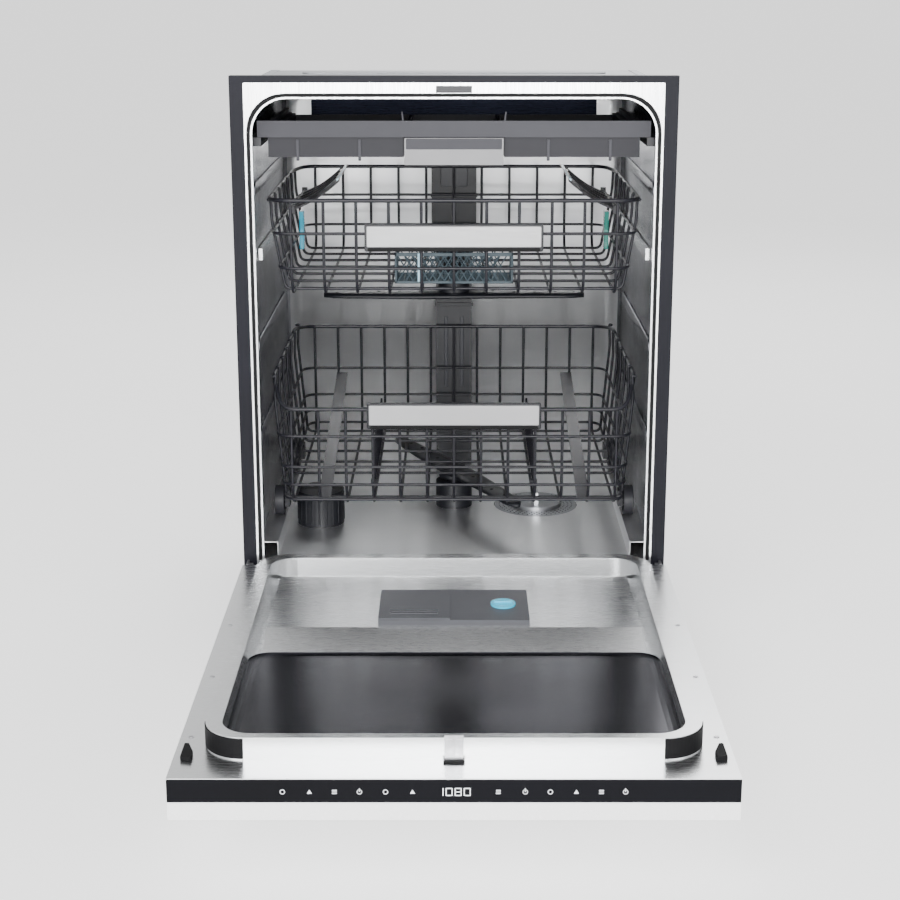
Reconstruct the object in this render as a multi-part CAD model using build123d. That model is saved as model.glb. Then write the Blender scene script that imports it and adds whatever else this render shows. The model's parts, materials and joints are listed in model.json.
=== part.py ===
from build123d import *
import math
import os

# Built in dishwasher, in millimetres. X runs to the machine's right as seen from the front, Y to the
# back and Z up. While the parts are drawn, Y = 0 is the front plane of the cabinet and the door lies open
# in front of it at negative Y. Every part is then moved by FRONT_Y, so that the origin of the finished
# model is the middle of its footprint on the floor. All racks are pushed in.

# Overall sizes
BODY_WIDTH = 598
BODY_HEIGHT = 818
BODY_DEPTH = 550

# Cabinet
FOOT_HEIGHT = 24
FOOT_RADIUS = 18
FOOT_STEM_RADIUS = 5
FOOT_INSET = 45
BASE_TOP = 95
BASE_RECESS = 40
BASE_WALL = 3
PANEL_THICKNESS = 1
TRIM_WIDTH = 18.6
TRIM_DEPTH = 18
TOP_TRIM_HEIGHT = 9
BRACKET_SPACING = 400
BRACKET_HOLE_RADIUS = 2.25
REAR_SERVICE_SPACE = 30
SERVICE_RISE = 22
SERVICE_INSET = 80
SERVICE_LENGTH = 28
TANK_INSET = 24
TANK_WIDTH = 150
TANK_LENGTH = 190
DRAIN_RADIUS = 10
INLET_RADIUS = 13.2

# Tub
TUB_WALL = 1
TUB_GAP = 1.4
CEILING_DROP = 23
TUB_BACK_SPACE = 35
TUB_FLOOR = 143
LEDGE_HEIGHT = 25
LEDGE_WIDTH = 28
RAIL_FRONT = 26
OPENING_INSET = 8
OPENING_TOP_DROP = 7
OPENING_CORNER = 47
SILL_DROP = 18
FRAME_THICKNESS = 3
GASKET_WIDTH = 4.5
GASKET_INSET = 2.5
GASKET_PROUD = 5
SUMP_RADIUS = 65
SUMP_X = 128
SUMP_DEPTH = 46
FILTER_RADIUS = 40
FILTER_HEIGHT = 50
FILTER_GRIP = 20
SALT_RADIUS = 35
SALT_HEIGHT = 52
SALT_X = -202
SALT_Y = 177
DUCT_WIDTH = 73
DUCT_LOWER_WIDTH = 59
DUCT_DEPTH = 26

# Door
HINGE_Y = -13.5
HINGE_Z = 134.5
HINGE_PIN_RADIUS = 4
HINGE_CLEARANCE = 0.05
HINGE_NOSE = 7.2
HINGE_PLATE = 3
HINGE_ARM = 5
DOOR_TOP_GAP = 5
DOOR_SIDE_GAP = 0.5
DOOR_BACK_GAP = 8.5
FLANGE_Z = 142
FLANGE_THICKNESS = 1
DOOR_TRAY_HEIGHT = 27
FURNITURE_THICKNESS = 20
CONTROL_DEPTH = 15
LINER_FRONT = 43
LINER_HEIGHT = 26
LINER_HALF = 268
LINER_RIM = 18
LINER_FRONT_RIM = 11
LINER_CORNER = 45
LINER_SHEET = 1
LINER_CLEARANCE = 3
PLATEAU_FRONT = 352
PLATEAU_SLOPE = 48
PLATEAU_HEIGHT = 16
GUARD_WIDTH = 12
GUARD_LENGTH = 36
GUARD_HEIGHT = 5.5
DISPENSER_WIDTH = 190
DISPENSER_DEPTH = 110
DISPENSER_FRONT = 300
DISPENSER_RISE = 24
DISPENSER_WALL = 6
LID_WIDTH = 90
LID_LENGTH = 92
LID_THICKNESS = 2.5
LID_GAP = 0.3
RINSE_CAP_RADIUS = 16

# Racks
RACK_DOOR_GAP = 7
RACK_BACK_GAP = 3
RACK_SIDE_GAP = 8
WIRE = 2.25
RIM_WIRE = 3
RUNNING_GAP = 0.3
WHEEL_RADIUS = 22
WHEEL_WIDTH = 14
WHEEL_OUTSET = 2
AXLE_RADIUS = 4
FRONT_WHEEL_SETBACK = 99
REAR_WHEEL_SETBACK = 90
LOWER_FRONT_SHARE = 0.322
LOWER_SIDE_SHARE = 0.385
LOWER_INSET = 14
UPPER_BASE_SHARE = 0.572
UPPER_RIM_DROP = 60
UPPER_INSET = 22
RUNNER_RISE = 51
RUNNER_HEIGHT = 16
MIDDLE_WIRE_RISE = 8
UPPER_HANDLE_RISE = 7.95
WIRE_PITCH_FRONT = 58
WIRE_PITCH_FLOOR = 44
HANDLE_WIDTH = 246
HANDLE_HEIGHT = 38
HANDLE_DEPTH = 9
HANDLE_BORDER = 4
TINE_HEIGHT = 62
TINE_RADIUS = 1.8
TINE_PITCH = 26
TINE_X = 118
TINE_ROW = 286
STRAP_WIDTH = 18
STRAP_THICKNESS = 4
STRAP_X = 186
SHELF_LENGTH = 210
SHELF_WING = 78
SHELF_THICKNESS = 4
SHELF_SLOPE = 32
SHELF_HINGE_DROP = 20
SHELF_PIN_RADIUS = 2.5
LEVER_GAP = 2
LEVER_THICKNESS = 8
LEVER_WIDTH = 24
LEVER_TOP_SHARE = 0.62137
LEVER_LOW_SHARE = 0.18174
LEVER_SETBACK = 40
BASKET_WIDTH = 168
BASKET_DEPTH = 76
BASKET_HEIGHT = 44
BASKET_WALL = 2

# Cutlery tray
TRAY_TOP_DROP = 38
TRAY_BAND = 22
TRAY_BACK_GAP = 59
TRAY_BOX_HEIGHT = 27
TRAY_CENTRE_DROP = 10
TRAY_WALL = 2.5
TRAY_BAND_THICKNESS = 4
TRAY_CENTRE_HALF = 67
TRAY_BAR = 6

# Spray arms
ARM_THICKNESS = 10
ARM_HUB_RADIUS = 24
ARM_HUB_WIDTH = 48
ARM_TIP_WIDTH = 26
LOWER_ARM_RADIUS = 216
LOWER_ARM_THICKNESS = 8
LOWER_HUB_DROP = 8
ARM_GAP = 2
ARM_RACK_GAP = 1.75
LOWER_ARM_TURN = -64
UPPER_ARM_RADIUS = 200
ARM_DROP = 43
ARM_POST_RADIUS = 12

# Worked out from the sizes above
HALF = BODY_WIDTH / 2
DOOR_REACH = BODY_HEIGHT - DOOR_TOP_GAP - HINGE_Z - HINGE_Y
FRONT_Y = (DOOR_REACH - BODY_DEPTH) / 2
TRIM_INNER = HALF - TRIM_WIDTH
TUB_HALF = TRIM_INNER - TUB_GAP - TUB_WALL
TUB_TOP = BODY_HEIGHT - CEILING_DROP
TUB_BACK = BODY_DEPTH - TUB_BACK_SPACE
TUB_SPACE = TUB_TOP - TUB_FLOOR
OPENING_HALF = TUB_HALF - OPENING_INSET
OPENING_TOP = TUB_TOP - OPENING_TOP_DROP
LEDGE_TOP = TUB_FLOOR + LEDGE_HEIGHT
DOOR_HALF = HALF - DOOR_SIDE_GAP
DOOR_END = HINGE_Y - DOOR_BACK_GAP
FLANGE_LOW = FLANGE_Z - FLANGE_THICKNESS
TRAY_LOW = FLANGE_Z - DOOR_TRAY_HEIGHT
LINER_TOP = FLANGE_Z + LINER_HEIGHT
DISPENSER_TOP = FLANGE_Z + DISPENSER_RISE
LINER_START = -DOOR_REACH + LINER_FRONT
LINER_END = HINGE_Y - (LEDGE_TOP + LINER_CLEARANCE - HINGE_Z)
LINER_CLOSED_Y = HINGE_Y + LINER_TOP - HINGE_Z
RACK_FRONT = LINER_CLOSED_Y + RACK_DOOR_GAP
DUCT_FRONT = TUB_BACK - DUCT_DEPTH
RACK_BACK = DUCT_FRONT - RACK_BACK_GAP
RACK_HALF = OPENING_HALF - RACK_SIDE_GAP
ARM_Y = TUB_BACK / 2 + 8
TRAY_TOP = TUB_TOP - TRAY_TOP_DROP
TRAY_LIP = TRAY_TOP - TRAY_BAND
TRAY_BASE = TRAY_LIP - TRAY_BOX_HEIGHT
TRAY_HALF = OPENING_HALF - 4
UPPER_RIM = TRAY_BASE - UPPER_RIM_DROP
UPPER_BASE = TUB_FLOOR + UPPER_BASE_SHARE * TUB_SPACE
LOWER_ARM_Z = TUB_FLOOR + SALT_HEIGHT + ARM_GAP
LOWER_BASE = LOWER_ARM_Z + LOWER_ARM_THICKNESS + ARM_RACK_GAP + WIRE
LOWER_FRONT_RIM = TUB_FLOOR + LOWER_FRONT_SHARE * TUB_SPACE
LOWER_SIDE_RIM = TUB_FLOOR + LOWER_SIDE_SHARE * TUB_SPACE
WHEEL_Z = LEDGE_TOP + RUNNING_GAP + WHEEL_RADIUS
UPPER_ARM_Z = UPPER_BASE - ARM_DROP
UPPER_RACK_DEPTH = UPPER_RIM - UPPER_BASE
LEVER_LOW = UPPER_BASE + LEVER_LOW_SHARE * UPPER_RACK_DEPTH
LEVER_TOP = UPPER_BASE + LEVER_TOP_SHARE * UPPER_RACK_DEPTH


def block(x0, x1, y0, y1, z0, z1):
    """A box between two corners."""
    return Pos((x0 + x1) / 2, (y0 + y1) / 2, (z0 + z1) / 2) * Box(x1 - x0, y1 - y0, z1 - z0)


def rod(start, end, radius=WIRE):
    """A straight round wire between two points."""
    run = Vector(*end) - Vector(*start)
    return Solid.make_cylinder(radius, run.length, Plane(origin=start, z_dir=run))


def upright(x, y, z0, z1, radius):
    """A round post standing on its end."""
    return rod((x, y, z0), (x, y, z1), radius)


def arch(half_width, low, high, corner):
    """A flat outline, seen from the front, with its two upper corners rounded."""
    outline = Pos(0, (low + high) / 2) * Rectangle(2 * half_width, high - low)
    return fillet(outline.vertices().sort_by(Axis.Y)[-2:], corner)


def along_y(sketch, y0, y1):
    """Pushes an outline seen from the front through from y0 to y1."""
    face = Plane((0, y1, 0), x_dir=(1, 0, 0), z_dir=(0, -1, 0)) * sketch
    return extrude(face, amount=y1 - y0)


def along_x(points, x0, x1):
    """Pushes an outline of (y, z) points, seen from the side, through from x0 to x1."""
    face = Plane((x0, 0, 0), x_dir=(0, 1, 0), z_dir=(1, 0, 0)) * make_face(Polyline(points, close=True))
    return extrude(face, amount=x1 - x0)


def slab(half_width, y0, y1, z0, z1, corner):
    """A plate lying flat, with four rounded corners."""
    outline = Pos(0, (y0 + y1) / 2) * RectangleRounded(2 * half_width, y1 - y0, corner)
    return extrude(Pos(0, 0, z0) * outline, amount=z1 - z0)


def open_box(x0, x1, y0, y1, z0, z1, wall):
    """A box with no top."""
    hollow = block(x0 + wall, x1 - wall, y0 + wall, y1 - wall, z0 + wall, z1 + wall)
    return block(x0, x1, y0, y1, z0, z1) - hollow


def spread(low, high, pitch):
    """Evenly spaced places from low to high, about pitch apart."""
    gaps = max(1, round((high - low) / pitch))
    return [low + (high - low) * step / gaps for step in range(gaps + 1)]


def save(node, *solids):
    """Writes one part, moved to the finished model's origin."""
    placed = [solid.moved(Location((0, FRONT_Y, 0))) for solid in solids]
    shape = placed[0] if len(placed) == 1 else Compound(children=placed)
    export_step(shape, f"parts/{node}.step")


def sides():
    """The two sides of the machine, as a name and a sign along X."""
    return (("left", -1), ("right", 1))


def pair_of(near, far, y0, y1, z0, z1):
    """Two boxes, one on each side of the machine."""
    return [mirror_block(sign, near, far, y0, y1, z0, z1) for side, sign in sides()]


def mirror_block(sign, near, far, y0, y1, z0, z1):
    """A box on one side of the machine, between two distances from the middle."""
    low, high = sorted((sign * near, sign * far))
    return block(low, high, y0, y1, z0, z1)


# Cabinet

def feet():
    places = [(x, y) for y in (BASE_RECESS + FOOT_INSET, BODY_DEPTH - REAR_SERVICE_SPACE - FOOT_INSET)
              for x in (-HALF + FOOT_INSET, HALF - FOOT_INSET)]
    made = []
    for x, y in places:
        pad = upright(x, y, 0, FOOT_HEIGHT / 3, FOOT_RADIUS)
        stem = upright(x, y, 0, FOOT_HEIGHT, FOOT_STEM_RADIUS)
        made.append(pad + stem)
    save("levelling_feet", *made)


def base_tray():
    back = BODY_DEPTH - REAR_SERVICE_SPACE
    inner = HALF - PANEL_THICKNESS
    save("base_tray", open_box(-inner, inner, BASE_RECESS, back, FOOT_HEIGHT, BASE_TOP, BASE_WALL))


def kick_plate():
    inner = HALF - PANEL_THICKNESS
    low = FOOT_HEIGHT + 4
    top = TUB_FLOOR - SILL_DROP - 2
    save("kick_plate", block(-inner, inner, BASE_RECESS - PANEL_THICKNESS, BASE_RECESS, low, top))


def casing_panels():
    """The thin sheets over the sides, roof and back. Only the front rail reaches full height."""
    inner = HALF - PANEL_THICKNESS
    top = TUB_TOP + TUB_WALL
    panels = pair_of(inner, HALF, TRIM_DEPTH, BODY_DEPTH, FOOT_HEIGHT, top)
    panels.append(block(-HALF, HALF, TRIM_DEPTH, BODY_DEPTH, top, top + PANEL_THICKNESS))
    panels.append(block(-inner, inner, BODY_DEPTH - PANEL_THICKNESS, BODY_DEPTH, BASE_TOP + 4, top))
    save("casing_panels", *panels)


def side_trims():
    save("side_trims", *pair_of(TRIM_INNER, HALF, 0, TRIM_DEPTH, TUB_FLOOR - SILL_DROP, BODY_HEIGHT))


def top_trim():
    trim = block(-TRIM_INNER, TRIM_INNER, 0, TRIM_DEPTH, BODY_HEIGHT - TOP_TRIM_HEIGHT, BODY_HEIGHT)
    for x in (-BRACKET_SPACING / 2, BRACKET_SPACING / 2):
        trim -= upright(x, TRIM_DEPTH / 2, BODY_HEIGHT - 2 * TOP_TRIM_HEIGHT, BODY_HEIGHT + 1,
                        BRACKET_HOLE_RADIUS)
    save("top_trim", trim)


# Tub

def tub_walls():
    """The tub's two sides, ceiling and back."""
    outer = TUB_HALF + TUB_WALL
    walls = pair_of(TUB_HALF, outer, FRAME_THICKNESS, TUB_BACK, TUB_FLOOR, TUB_TOP)
    walls.append(block(-outer, outer, FRAME_THICKNESS, TUB_BACK, TUB_TOP, TUB_TOP + TUB_WALL))
    walls.append(block(-outer, outer, TUB_BACK, TUB_BACK + TUB_WALL, TUB_FLOOR - TUB_WALL,
                       TUB_TOP + TUB_WALL))
    save("tub_walls", *walls)


def tub_floor():
    outer = TUB_HALF + TUB_WALL
    floor = block(-outer, outer, FRAME_THICKNESS, TUB_BACK, TUB_FLOOR - TUB_WALL, TUB_FLOOR)
    save("tub_floor", floor - upright(SUMP_X, ARM_Y, TUB_FLOOR - 2 * TUB_WALL, TUB_FLOOR + 1, SUMP_RADIUS))


def tub_ledges():
    """The pressed steel steps that the lower rack's wheels roll on."""
    near = TUB_HALF - LEDGE_WIDTH
    under = LEDGE_TOP - TUB_WALL
    treads = pair_of(near, TUB_HALF, FRAME_THICKNESS, TUB_BACK, under, LEDGE_TOP)
    risers = pair_of(near, near + TUB_WALL, FRAME_THICKNESS, TUB_BACK, TUB_FLOOR, under)
    save("wheel_ledges", *treads, *risers)


def front_frame():
    outer = arch(TRIM_INNER, TUB_FLOOR - SILL_DROP, BODY_HEIGHT - TOP_TRIM_HEIGHT, 2)
    opening = arch(OPENING_HALF, TUB_FLOOR, OPENING_TOP, OPENING_CORNER)
    save("front_frame", along_y(outer - opening, 0, FRAME_THICKNESS))


def door_gasket():
    inner_half = OPENING_HALF + GASKET_INSET
    inner_top = OPENING_TOP + GASKET_INSET
    inner_corner = OPENING_CORNER + GASKET_INSET
    outer = arch(inner_half + GASKET_WIDTH, TUB_FLOOR, inner_top + GASKET_WIDTH, inner_corner + GASKET_WIDTH)
    inner = arch(inner_half, TUB_FLOOR - 1, inner_top, inner_corner)
    save("door_gasket", along_y(outer - inner, -GASKET_PROUD, 0))


def latch_housing():
    low = OPENING_TOP + GASKET_INSET + GASKET_WIDTH + 1
    save("latch_housing", block(-24, 24, -4, 0, low, low + 9))


def sump():
    outer = upright(SUMP_X, ARM_Y, TUB_FLOOR - TUB_WALL - SUMP_DEPTH, TUB_FLOOR - TUB_WALL, SUMP_RADIUS + 5)
    well = upright(SUMP_X, ARM_Y, TUB_FLOOR - SUMP_DEPTH, TUB_FLOOR, SUMP_RADIUS)
    save("sump_housing", outer - well)


def filter_plate():
    plate = upright(SUMP_X, ARM_Y, TUB_FLOOR - 3, TUB_FLOOR, SUMP_RADIUS - 1)
    hole = upright(SUMP_X, ARM_Y, TUB_FLOOR - 4, TUB_FLOOR + 1, FILTER_RADIUS + 0.5)
    save("filter_plate", plate - hole)


def micro_filter():
    low = TUB_FLOOR - SUMP_DEPTH + 2
    cup = upright(SUMP_X, ARM_Y, low, low + FILTER_HEIGHT, FILTER_RADIUS)
    grip = block(SUMP_X - 3, SUMP_X + 3, ARM_Y - FILTER_RADIUS + 12, ARM_Y + FILTER_RADIUS - 12,
                 low + FILTER_HEIGHT, low + FILTER_HEIGHT + FILTER_GRIP)
    save("micro_filter", cup + grip)


def salt_cap():
    body = upright(SALT_X, SALT_Y, TUB_FLOOR, TUB_FLOOR + SALT_HEIGHT, SALT_RADIUS)
    save("salt_cap", body)


def feed_duct():
    split = UPPER_BASE
    low = block(-DUCT_LOWER_WIDTH / 2, DUCT_LOWER_WIDTH / 2, DUCT_FRONT, TUB_BACK, TUB_FLOOR, split)
    high = block(-DUCT_WIDTH / 2, DUCT_WIDTH / 2, DUCT_FRONT, TUB_BACK, split, UPPER_RIM + 34)
    save("feed_duct", low + high)


def lower_arm_post():
    top = LOWER_ARM_Z - LOWER_HUB_DROP - RUNNING_GAP
    base = upright(0, ARM_Y, TUB_FLOOR, top - 6, ARM_HUB_RADIUS + 4)
    post = upright(0, ARM_Y, TUB_FLOOR, top, ARM_POST_RADIUS)
    save("lower_arm_post", base + post)


def ceiling_spray():
    save("ceiling_spray", upright(0, ARM_Y, TUB_TOP - 10, TUB_TOP, 32))


def rack_rails():
    low = UPPER_BASE + RUNNER_RISE
    save("upper_rails", *pair_of(OPENING_HALF + 1, TUB_HALF, RAIL_FRONT, RACK_BACK,
                                 low - 1, low + RUNNER_HEIGHT + 1))


def tray_rails():
    save("tray_rails", *pair_of(TRAY_HALF - TRAY_BAR + 1, TUB_HALF, RAIL_FRONT, RACK_BACK,
                                TRAY_LIP - 12, TRAY_LIP - RUNNING_GAP))


# Machinery under the tub

def machinery():
    floor = FOOT_HEIGHT + BASE_WALL
    under = TUB_FLOOR - TUB_WALL - 1
    back = BODY_DEPTH - REAR_SERVICE_SPACE
    pump_y = back - 110
    motor = rod((SUMP_X - 190, pump_y, floor + 36), (SUMP_X - 60, pump_y, floor + 36), 34)
    tank_x = -HALF + TANK_INSET
    tank_y = BASE_RECESS + TANK_INSET + 50
    save("softener_tank", block(tank_x, tank_x + TANK_WIDTH, tank_y, tank_y + TANK_LENGTH, floor, under))
    drain = rod((HALF - 90, pump_y, floor + 26), (HALF - 24, pump_y, floor + 26), 24)
    save("pumps", motor, drain)
    spigot_z = floor + SERVICE_RISE
    side = HALF - SERVICE_INSET
    tip = back + SERVICE_LENGTH
    spigot = rod((side, back, spigot_z), (side, tip, spigot_z), DRAIN_RADIUS)
    inlet = rod((-side, back, spigot_z), (-side, tip, spigot_z), INLET_RADIUS)
    socket = block(-HALF + 150, -HALF + 190, back, back + 16, floor + 8, floor + 38)
    save("service_connections", spigot, inlet, socket)


# Hinges

def hinges():
    nose_low = HINGE_Z - HINGE_NOSE
    nose_high = HINGE_Z + HINGE_NOSE
    plate_x = HALF - 5 - HINGE_PLATE
    arm_x = plate_x - 1 - HINGE_ARM
    plates = []
    arms = []
    for side, sign in sides():
        near, far = sorted((sign * plate_x, sign * (plate_x + HINGE_PLATE)))
        bar = block(near, far, HINGE_Y, 0, nose_low, nose_high)
        nose = rod((near, HINGE_Y, HINGE_Z), (far, HINGE_Y, HINGE_Z), HINGE_NOSE)
        pin = rod((sign * (arm_x - 1), HINGE_Y, HINGE_Z), (sign * (plate_x + 1), HINGE_Y, HINGE_Z),
                  HINGE_PIN_RADIUS)
        plates.append(bar + nose + pin)
        near, far = sorted((sign * arm_x, sign * (arm_x + HINGE_ARM)))
        lug = block(near, far, DOOR_END, HINGE_Y, nose_low, nose_high)
        eye = rod((near, HINGE_Y, HINGE_Z), (far, HINGE_Y, HINGE_Z), HINGE_NOSE)
        hole = rod((near - 1, HINGE_Y, HINGE_Z), (far + 1, HINGE_Y, HINGE_Z),
                   HINGE_PIN_RADIUS + HINGE_CLEARANCE)
        arms.append(lug + eye - hole)
    save("hinge_plates", *plates)
    save("hinge_arms", *arms)


# Door, lying open

def furniture_panel():
    save("furniture_panel", block(-DOOR_HALF, DOOR_HALF, -DOOR_REACH, DOOR_END,
                                  TRAY_LOW - FURNITURE_THICKNESS, TRAY_LOW))


def door_tray():
    front = -DOOR_REACH + CONTROL_DEPTH
    save("door_tray", open_box(-DOOR_HALF, DOOR_HALF, front, DOOR_END, TRAY_LOW, FLANGE_LOW, PANEL_THICKNESS))


def control_panel():
    save("control_panel", block(-DOOR_HALF, DOOR_HALF, -DOOR_REACH, -DOOR_REACH + CONTROL_DEPTH,
                                TRAY_LOW, FLANGE_LOW))


def control_board():
    front = -DOOR_REACH + CONTROL_DEPTH + PANEL_THICKNESS
    save("control_board", block(-180, 180, front + 2, front + 4, TRAY_LOW + 4, FLANGE_LOW - 3))


def dispenser_place():
    """The dispenser's outline, as its front and back."""
    return -DISPENSER_FRONT, -DISPENSER_FRONT + DISPENSER_DEPTH


def door_liner():
    flange = block(-DOOR_HALF, DOOR_HALF, -DOOR_REACH, DOOR_END, FLANGE_LOW, FLANGE_Z)
    rim = slab(LINER_HALF, LINER_START, LINER_END, FLANGE_Z, LINER_TOP, LINER_CORNER)
    inner = LINER_HALF - LINER_RIM
    well_front = LINER_START + LINER_FRONT_RIM
    well_back = LINER_END - LINER_RIM
    well_corner = LINER_CORNER - LINER_FRONT_RIM
    well = slab(inner, well_front, well_back, FLANGE_Z - 1, LINER_TOP + 1, well_corner)
    sheet = LINER_SHEET
    under = slab(LINER_HALF - sheet, LINER_START + sheet, LINER_END - sheet, FLANGE_Z - 1, LINER_TOP - sheet,
                 LINER_CORNER - sheet)
    lining = slab(inner + sheet, well_front - sheet, well_back + sheet, FLANGE_Z - 2, LINER_TOP,
                  well_corner + sheet)
    channel = rim - well - (under - lining)
    top = FLANGE_Z + PLATEAU_HEIGHT
    edge = inner - LINER_CORNER / 3
    front, back = dispenser_place()
    crest = -PLATEAU_FRONT + PLATEAU_SLOPE
    rear_crest = well_back - PLATEAU_SLOPE
    slope = along_x([(-PLATEAU_FRONT, FLANGE_Z), (-PLATEAU_FRONT + 2 * sheet, FLANGE_Z), (crest, top - sheet),
                     (crest, top)], -edge, edge)
    rear = along_x([(well_back - 2 * sheet, FLANGE_Z), (well_back, FLANGE_Z), (rear_crest, top),
                    (rear_crest, top - sheet)], -edge, edge)
    plates = [block(-edge, edge, crest, front, top - sheet, top),
              block(-edge, edge, back, rear_crest, top - sheet, top)]
    plates += pair_of(DISPENSER_WIDTH / 2, edge, front, back, top - sheet, top)
    save("door_liner", flange, channel, slope, rear, *plates)


def corner_guards():
    near = OPENING_HALF + GASKET_INSET + GASKET_WIDTH + 1
    save("corner_guards", *pair_of(near, near + GUARD_WIDTH, LINER_START - 4, LINER_START - 4 + GUARD_LENGTH,
                                   FLANGE_Z, FLANGE_Z + GUARD_HEIGHT))


def latch_catch():
    save("latch_catch", block(-10, 10, LINER_START - 3, LINER_START, FLANGE_Z, LINER_TOP + 4))


def dispenser():
    front, back = dispenser_place()
    half = DISPENSER_WIDTH / 2
    body = block(-half, half, front, back, FLANGE_Z, DISPENSER_TOP)
    lid_side = -half + LID_WIDTH
    lid_end = front + LID_LENGTH
    chamber = block(-half + DISPENSER_WALL, lid_side - DISPENSER_WALL, front + DISPENSER_WALL,
                    lid_end - DISPENSER_WALL, FLANGE_Z + 3, DISPENSER_TOP + 1)
    save("dispenser_body", body - chamber)
    low = DISPENSER_TOP + LID_GAP
    save("dispenser_lid", block(-half, lid_side, front, lid_end, low, low + LID_THICKNESS))
    save("rinse_aid_cap", upright(half - 2 * RINSE_CAP_RADIUS, (front + back) / 2, DISPENSER_TOP,
                                  DISPENSER_TOP + LID_THICKNESS, RINSE_CAP_RADIUS))


# Racks

def middle_wire(base, rim):
    """Height of the wire half way up a basket's front or back."""
    return (base + rim) / 2 + MIDDLE_WIRE_RISE


def basket_wires(half, front, back, base, rims, inset):
    """A wire basket: rims are the heights of its front, side and back top wires."""
    front_rim, side_rim, back_rim = rims
    wires = []
    floor_half = half - inset
    near = front + RIM_WIRE
    far = back - RIM_WIRE
    edge = half - RIM_WIRE
    for x in spread(-floor_half, floor_half, WIRE_PITCH_FLOOR):
        wires.append(rod((x, near, base), (x, far, base)))
    for y in spread(near + inset, far - inset, WIRE_PITCH_FLOOR * 1.6):
        wires.append(rod((-floor_half, y, base + 2 * WIRE), (floor_half, y, base + 2 * WIRE)))
    for x in spread(-floor_half, floor_half, WIRE_PITCH_FRONT):
        wires.append(rod((x, near, base), (x, near, front_rim)))
        wires.append(rod((x, far, base), (x, far, back_rim)))
    for y in spread(near + inset, far - inset, WIRE_PITCH_FRONT):
        for sign in (-1, 1):
            wires.append(rod((sign * floor_half, y, base + 2 * WIRE), (sign * edge, y, side_rim)))
    for z in (front_rim, middle_wire(base, front_rim)):
        wires.append(rod((-floor_half, near, z), (floor_half, near, z), RIM_WIRE))
    for z in (back_rim, middle_wire(base, back_rim)):
        wires.append(rod((-floor_half, far, z), (floor_half, far, z), RIM_WIRE))
    for sign in (-1, 1):
        front_corner = (sign * edge, near + inset, side_rim)
        back_corner = (sign * edge, far - inset, side_rim)
        wires.append(rod(front_corner, back_corner, RIM_WIRE))
        wires.append(rod((sign * floor_half, near, front_rim), front_corner, RIM_WIRE))
        wires.append(rod((sign * floor_half, far, back_rim), back_corner, RIM_WIRE))
    return wires


def handle(name, centre_z, front):
    """A rack's handle: a bar with a shallow recess in its face."""
    low = centre_z - HANDLE_HEIGHT / 2
    high = centre_z + HANDLE_HEIGHT / 2
    half = HANDLE_WIDTH / 2
    frame = block(-half, half, front - HANDLE_DEPTH, front, low, high)
    inner = HANDLE_BORDER
    recess = block(-half + inner, half - inner, front - HANDLE_DEPTH, front - HANDLE_DEPTH + 2,
                   low + inner, high - inner)
    save(f"{name}_handle", frame - recess)


def lower_rack():
    front = RACK_FRONT + HANDLE_DEPTH
    rims = (LOWER_FRONT_RIM, LOWER_SIDE_RIM, LOWER_SIDE_RIM - 10)
    save("lower_rack_basket", *basket_wires(RACK_HALF, front, RACK_BACK, LOWER_BASE, rims, LOWER_INSET))
    handle("lower_rack", LOWER_FRONT_RIM - 8, front)
    straps = []
    low = LOWER_BASE + 3 * WIRE + 1
    high = LOWER_SIDE_RIM - 90
    for sign in (-1, 1):
        strap = along_x([(front + 12, low), (RACK_BACK - 12, high), (RACK_BACK - 12, high + STRAP_THICKNESS),
                         (front + 12, low + STRAP_THICKNESS)],
                        sign * STRAP_X - STRAP_WIDTH / 2, sign * STRAP_X + STRAP_WIDTH / 2)
        straps.append(strap)
    save("lower_rack_straps", *straps)


def wheel_lines():
    """How far back the lower rack's two wheel lines are."""
    front = RACK_FRONT + HANDLE_DEPTH + FRONT_WHEEL_SETBACK
    return (("front", front), ("rear", RACK_BACK - REAR_WHEEL_SETBACK))


def lower_wheels():
    inner = TUB_HALF - LEDGE_WIDTH + WHEEL_OUTSET
    outer = inner + WHEEL_WIDTH
    brackets = []
    for place, y in wheel_lines():
        pair = []
        for sign in (-1, 1):
            low, high = sorted((sign * inner, sign * outer))
            wheel = rod((low, y, WHEEL_Z), (high, y, WHEEL_Z), WHEEL_RADIUS)
            bore = rod((low - 1, y, WHEEL_Z), (high + 1, y, WHEEL_Z), AXLE_RADIUS + HINGE_CLEARANCE)
            pair.append(wheel - bore)
            web_top = LOWER_BASE - WIRE - 0.2
            web = mirror_block(sign, inner - 8, inner - 1, y - 10, y + 10, WHEEL_Z - 8, web_top)
            axle = rod((sign * (inner - 2), y, WHEEL_Z), (sign * (outer + 1), y, WHEEL_Z), AXLE_RADIUS)
            brackets.append(web + axle)
        save(f"{place}_wheels", *pair)
    return brackets


def tine_axis_z():
    """Height of the folding tines' pivot wires, just above the basket's floor."""
    return LOWER_BASE + 3 * WIRE + TINE_RADIUS + 1.4


def fold_tines():
    z = tine_axis_z()
    front = ARM_Y - TINE_ROW / 2
    clips = []
    for side, sign in sides():
        x = sign * TINE_X
        row = [rod((x, front, z), (x, front + TINE_ROW, z), TINE_RADIUS)]
        for y in spread(front + 14, front + TINE_ROW - 14, TINE_PITCH):
            row.append(rod((x, y, z), (x, y, z + TINE_HEIGHT), TINE_RADIUS))
        save(f"fold_tines_{side}", *row)
        for y in (front - 1, front + TINE_ROW - 6):
            clip = block(x - 5, x + 5, y, y + 7, z - TINE_RADIUS - 1.2, z + 6)
            bore = rod((x, y - 1, z), (x, y + 8, z), TINE_RADIUS + HINGE_CLEARANCE)
            clips.append(clip - bore)
    return clips


def lower_rack_fittings():
    save("lower_rack_fittings", *lower_wheels(), *fold_tines())


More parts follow.
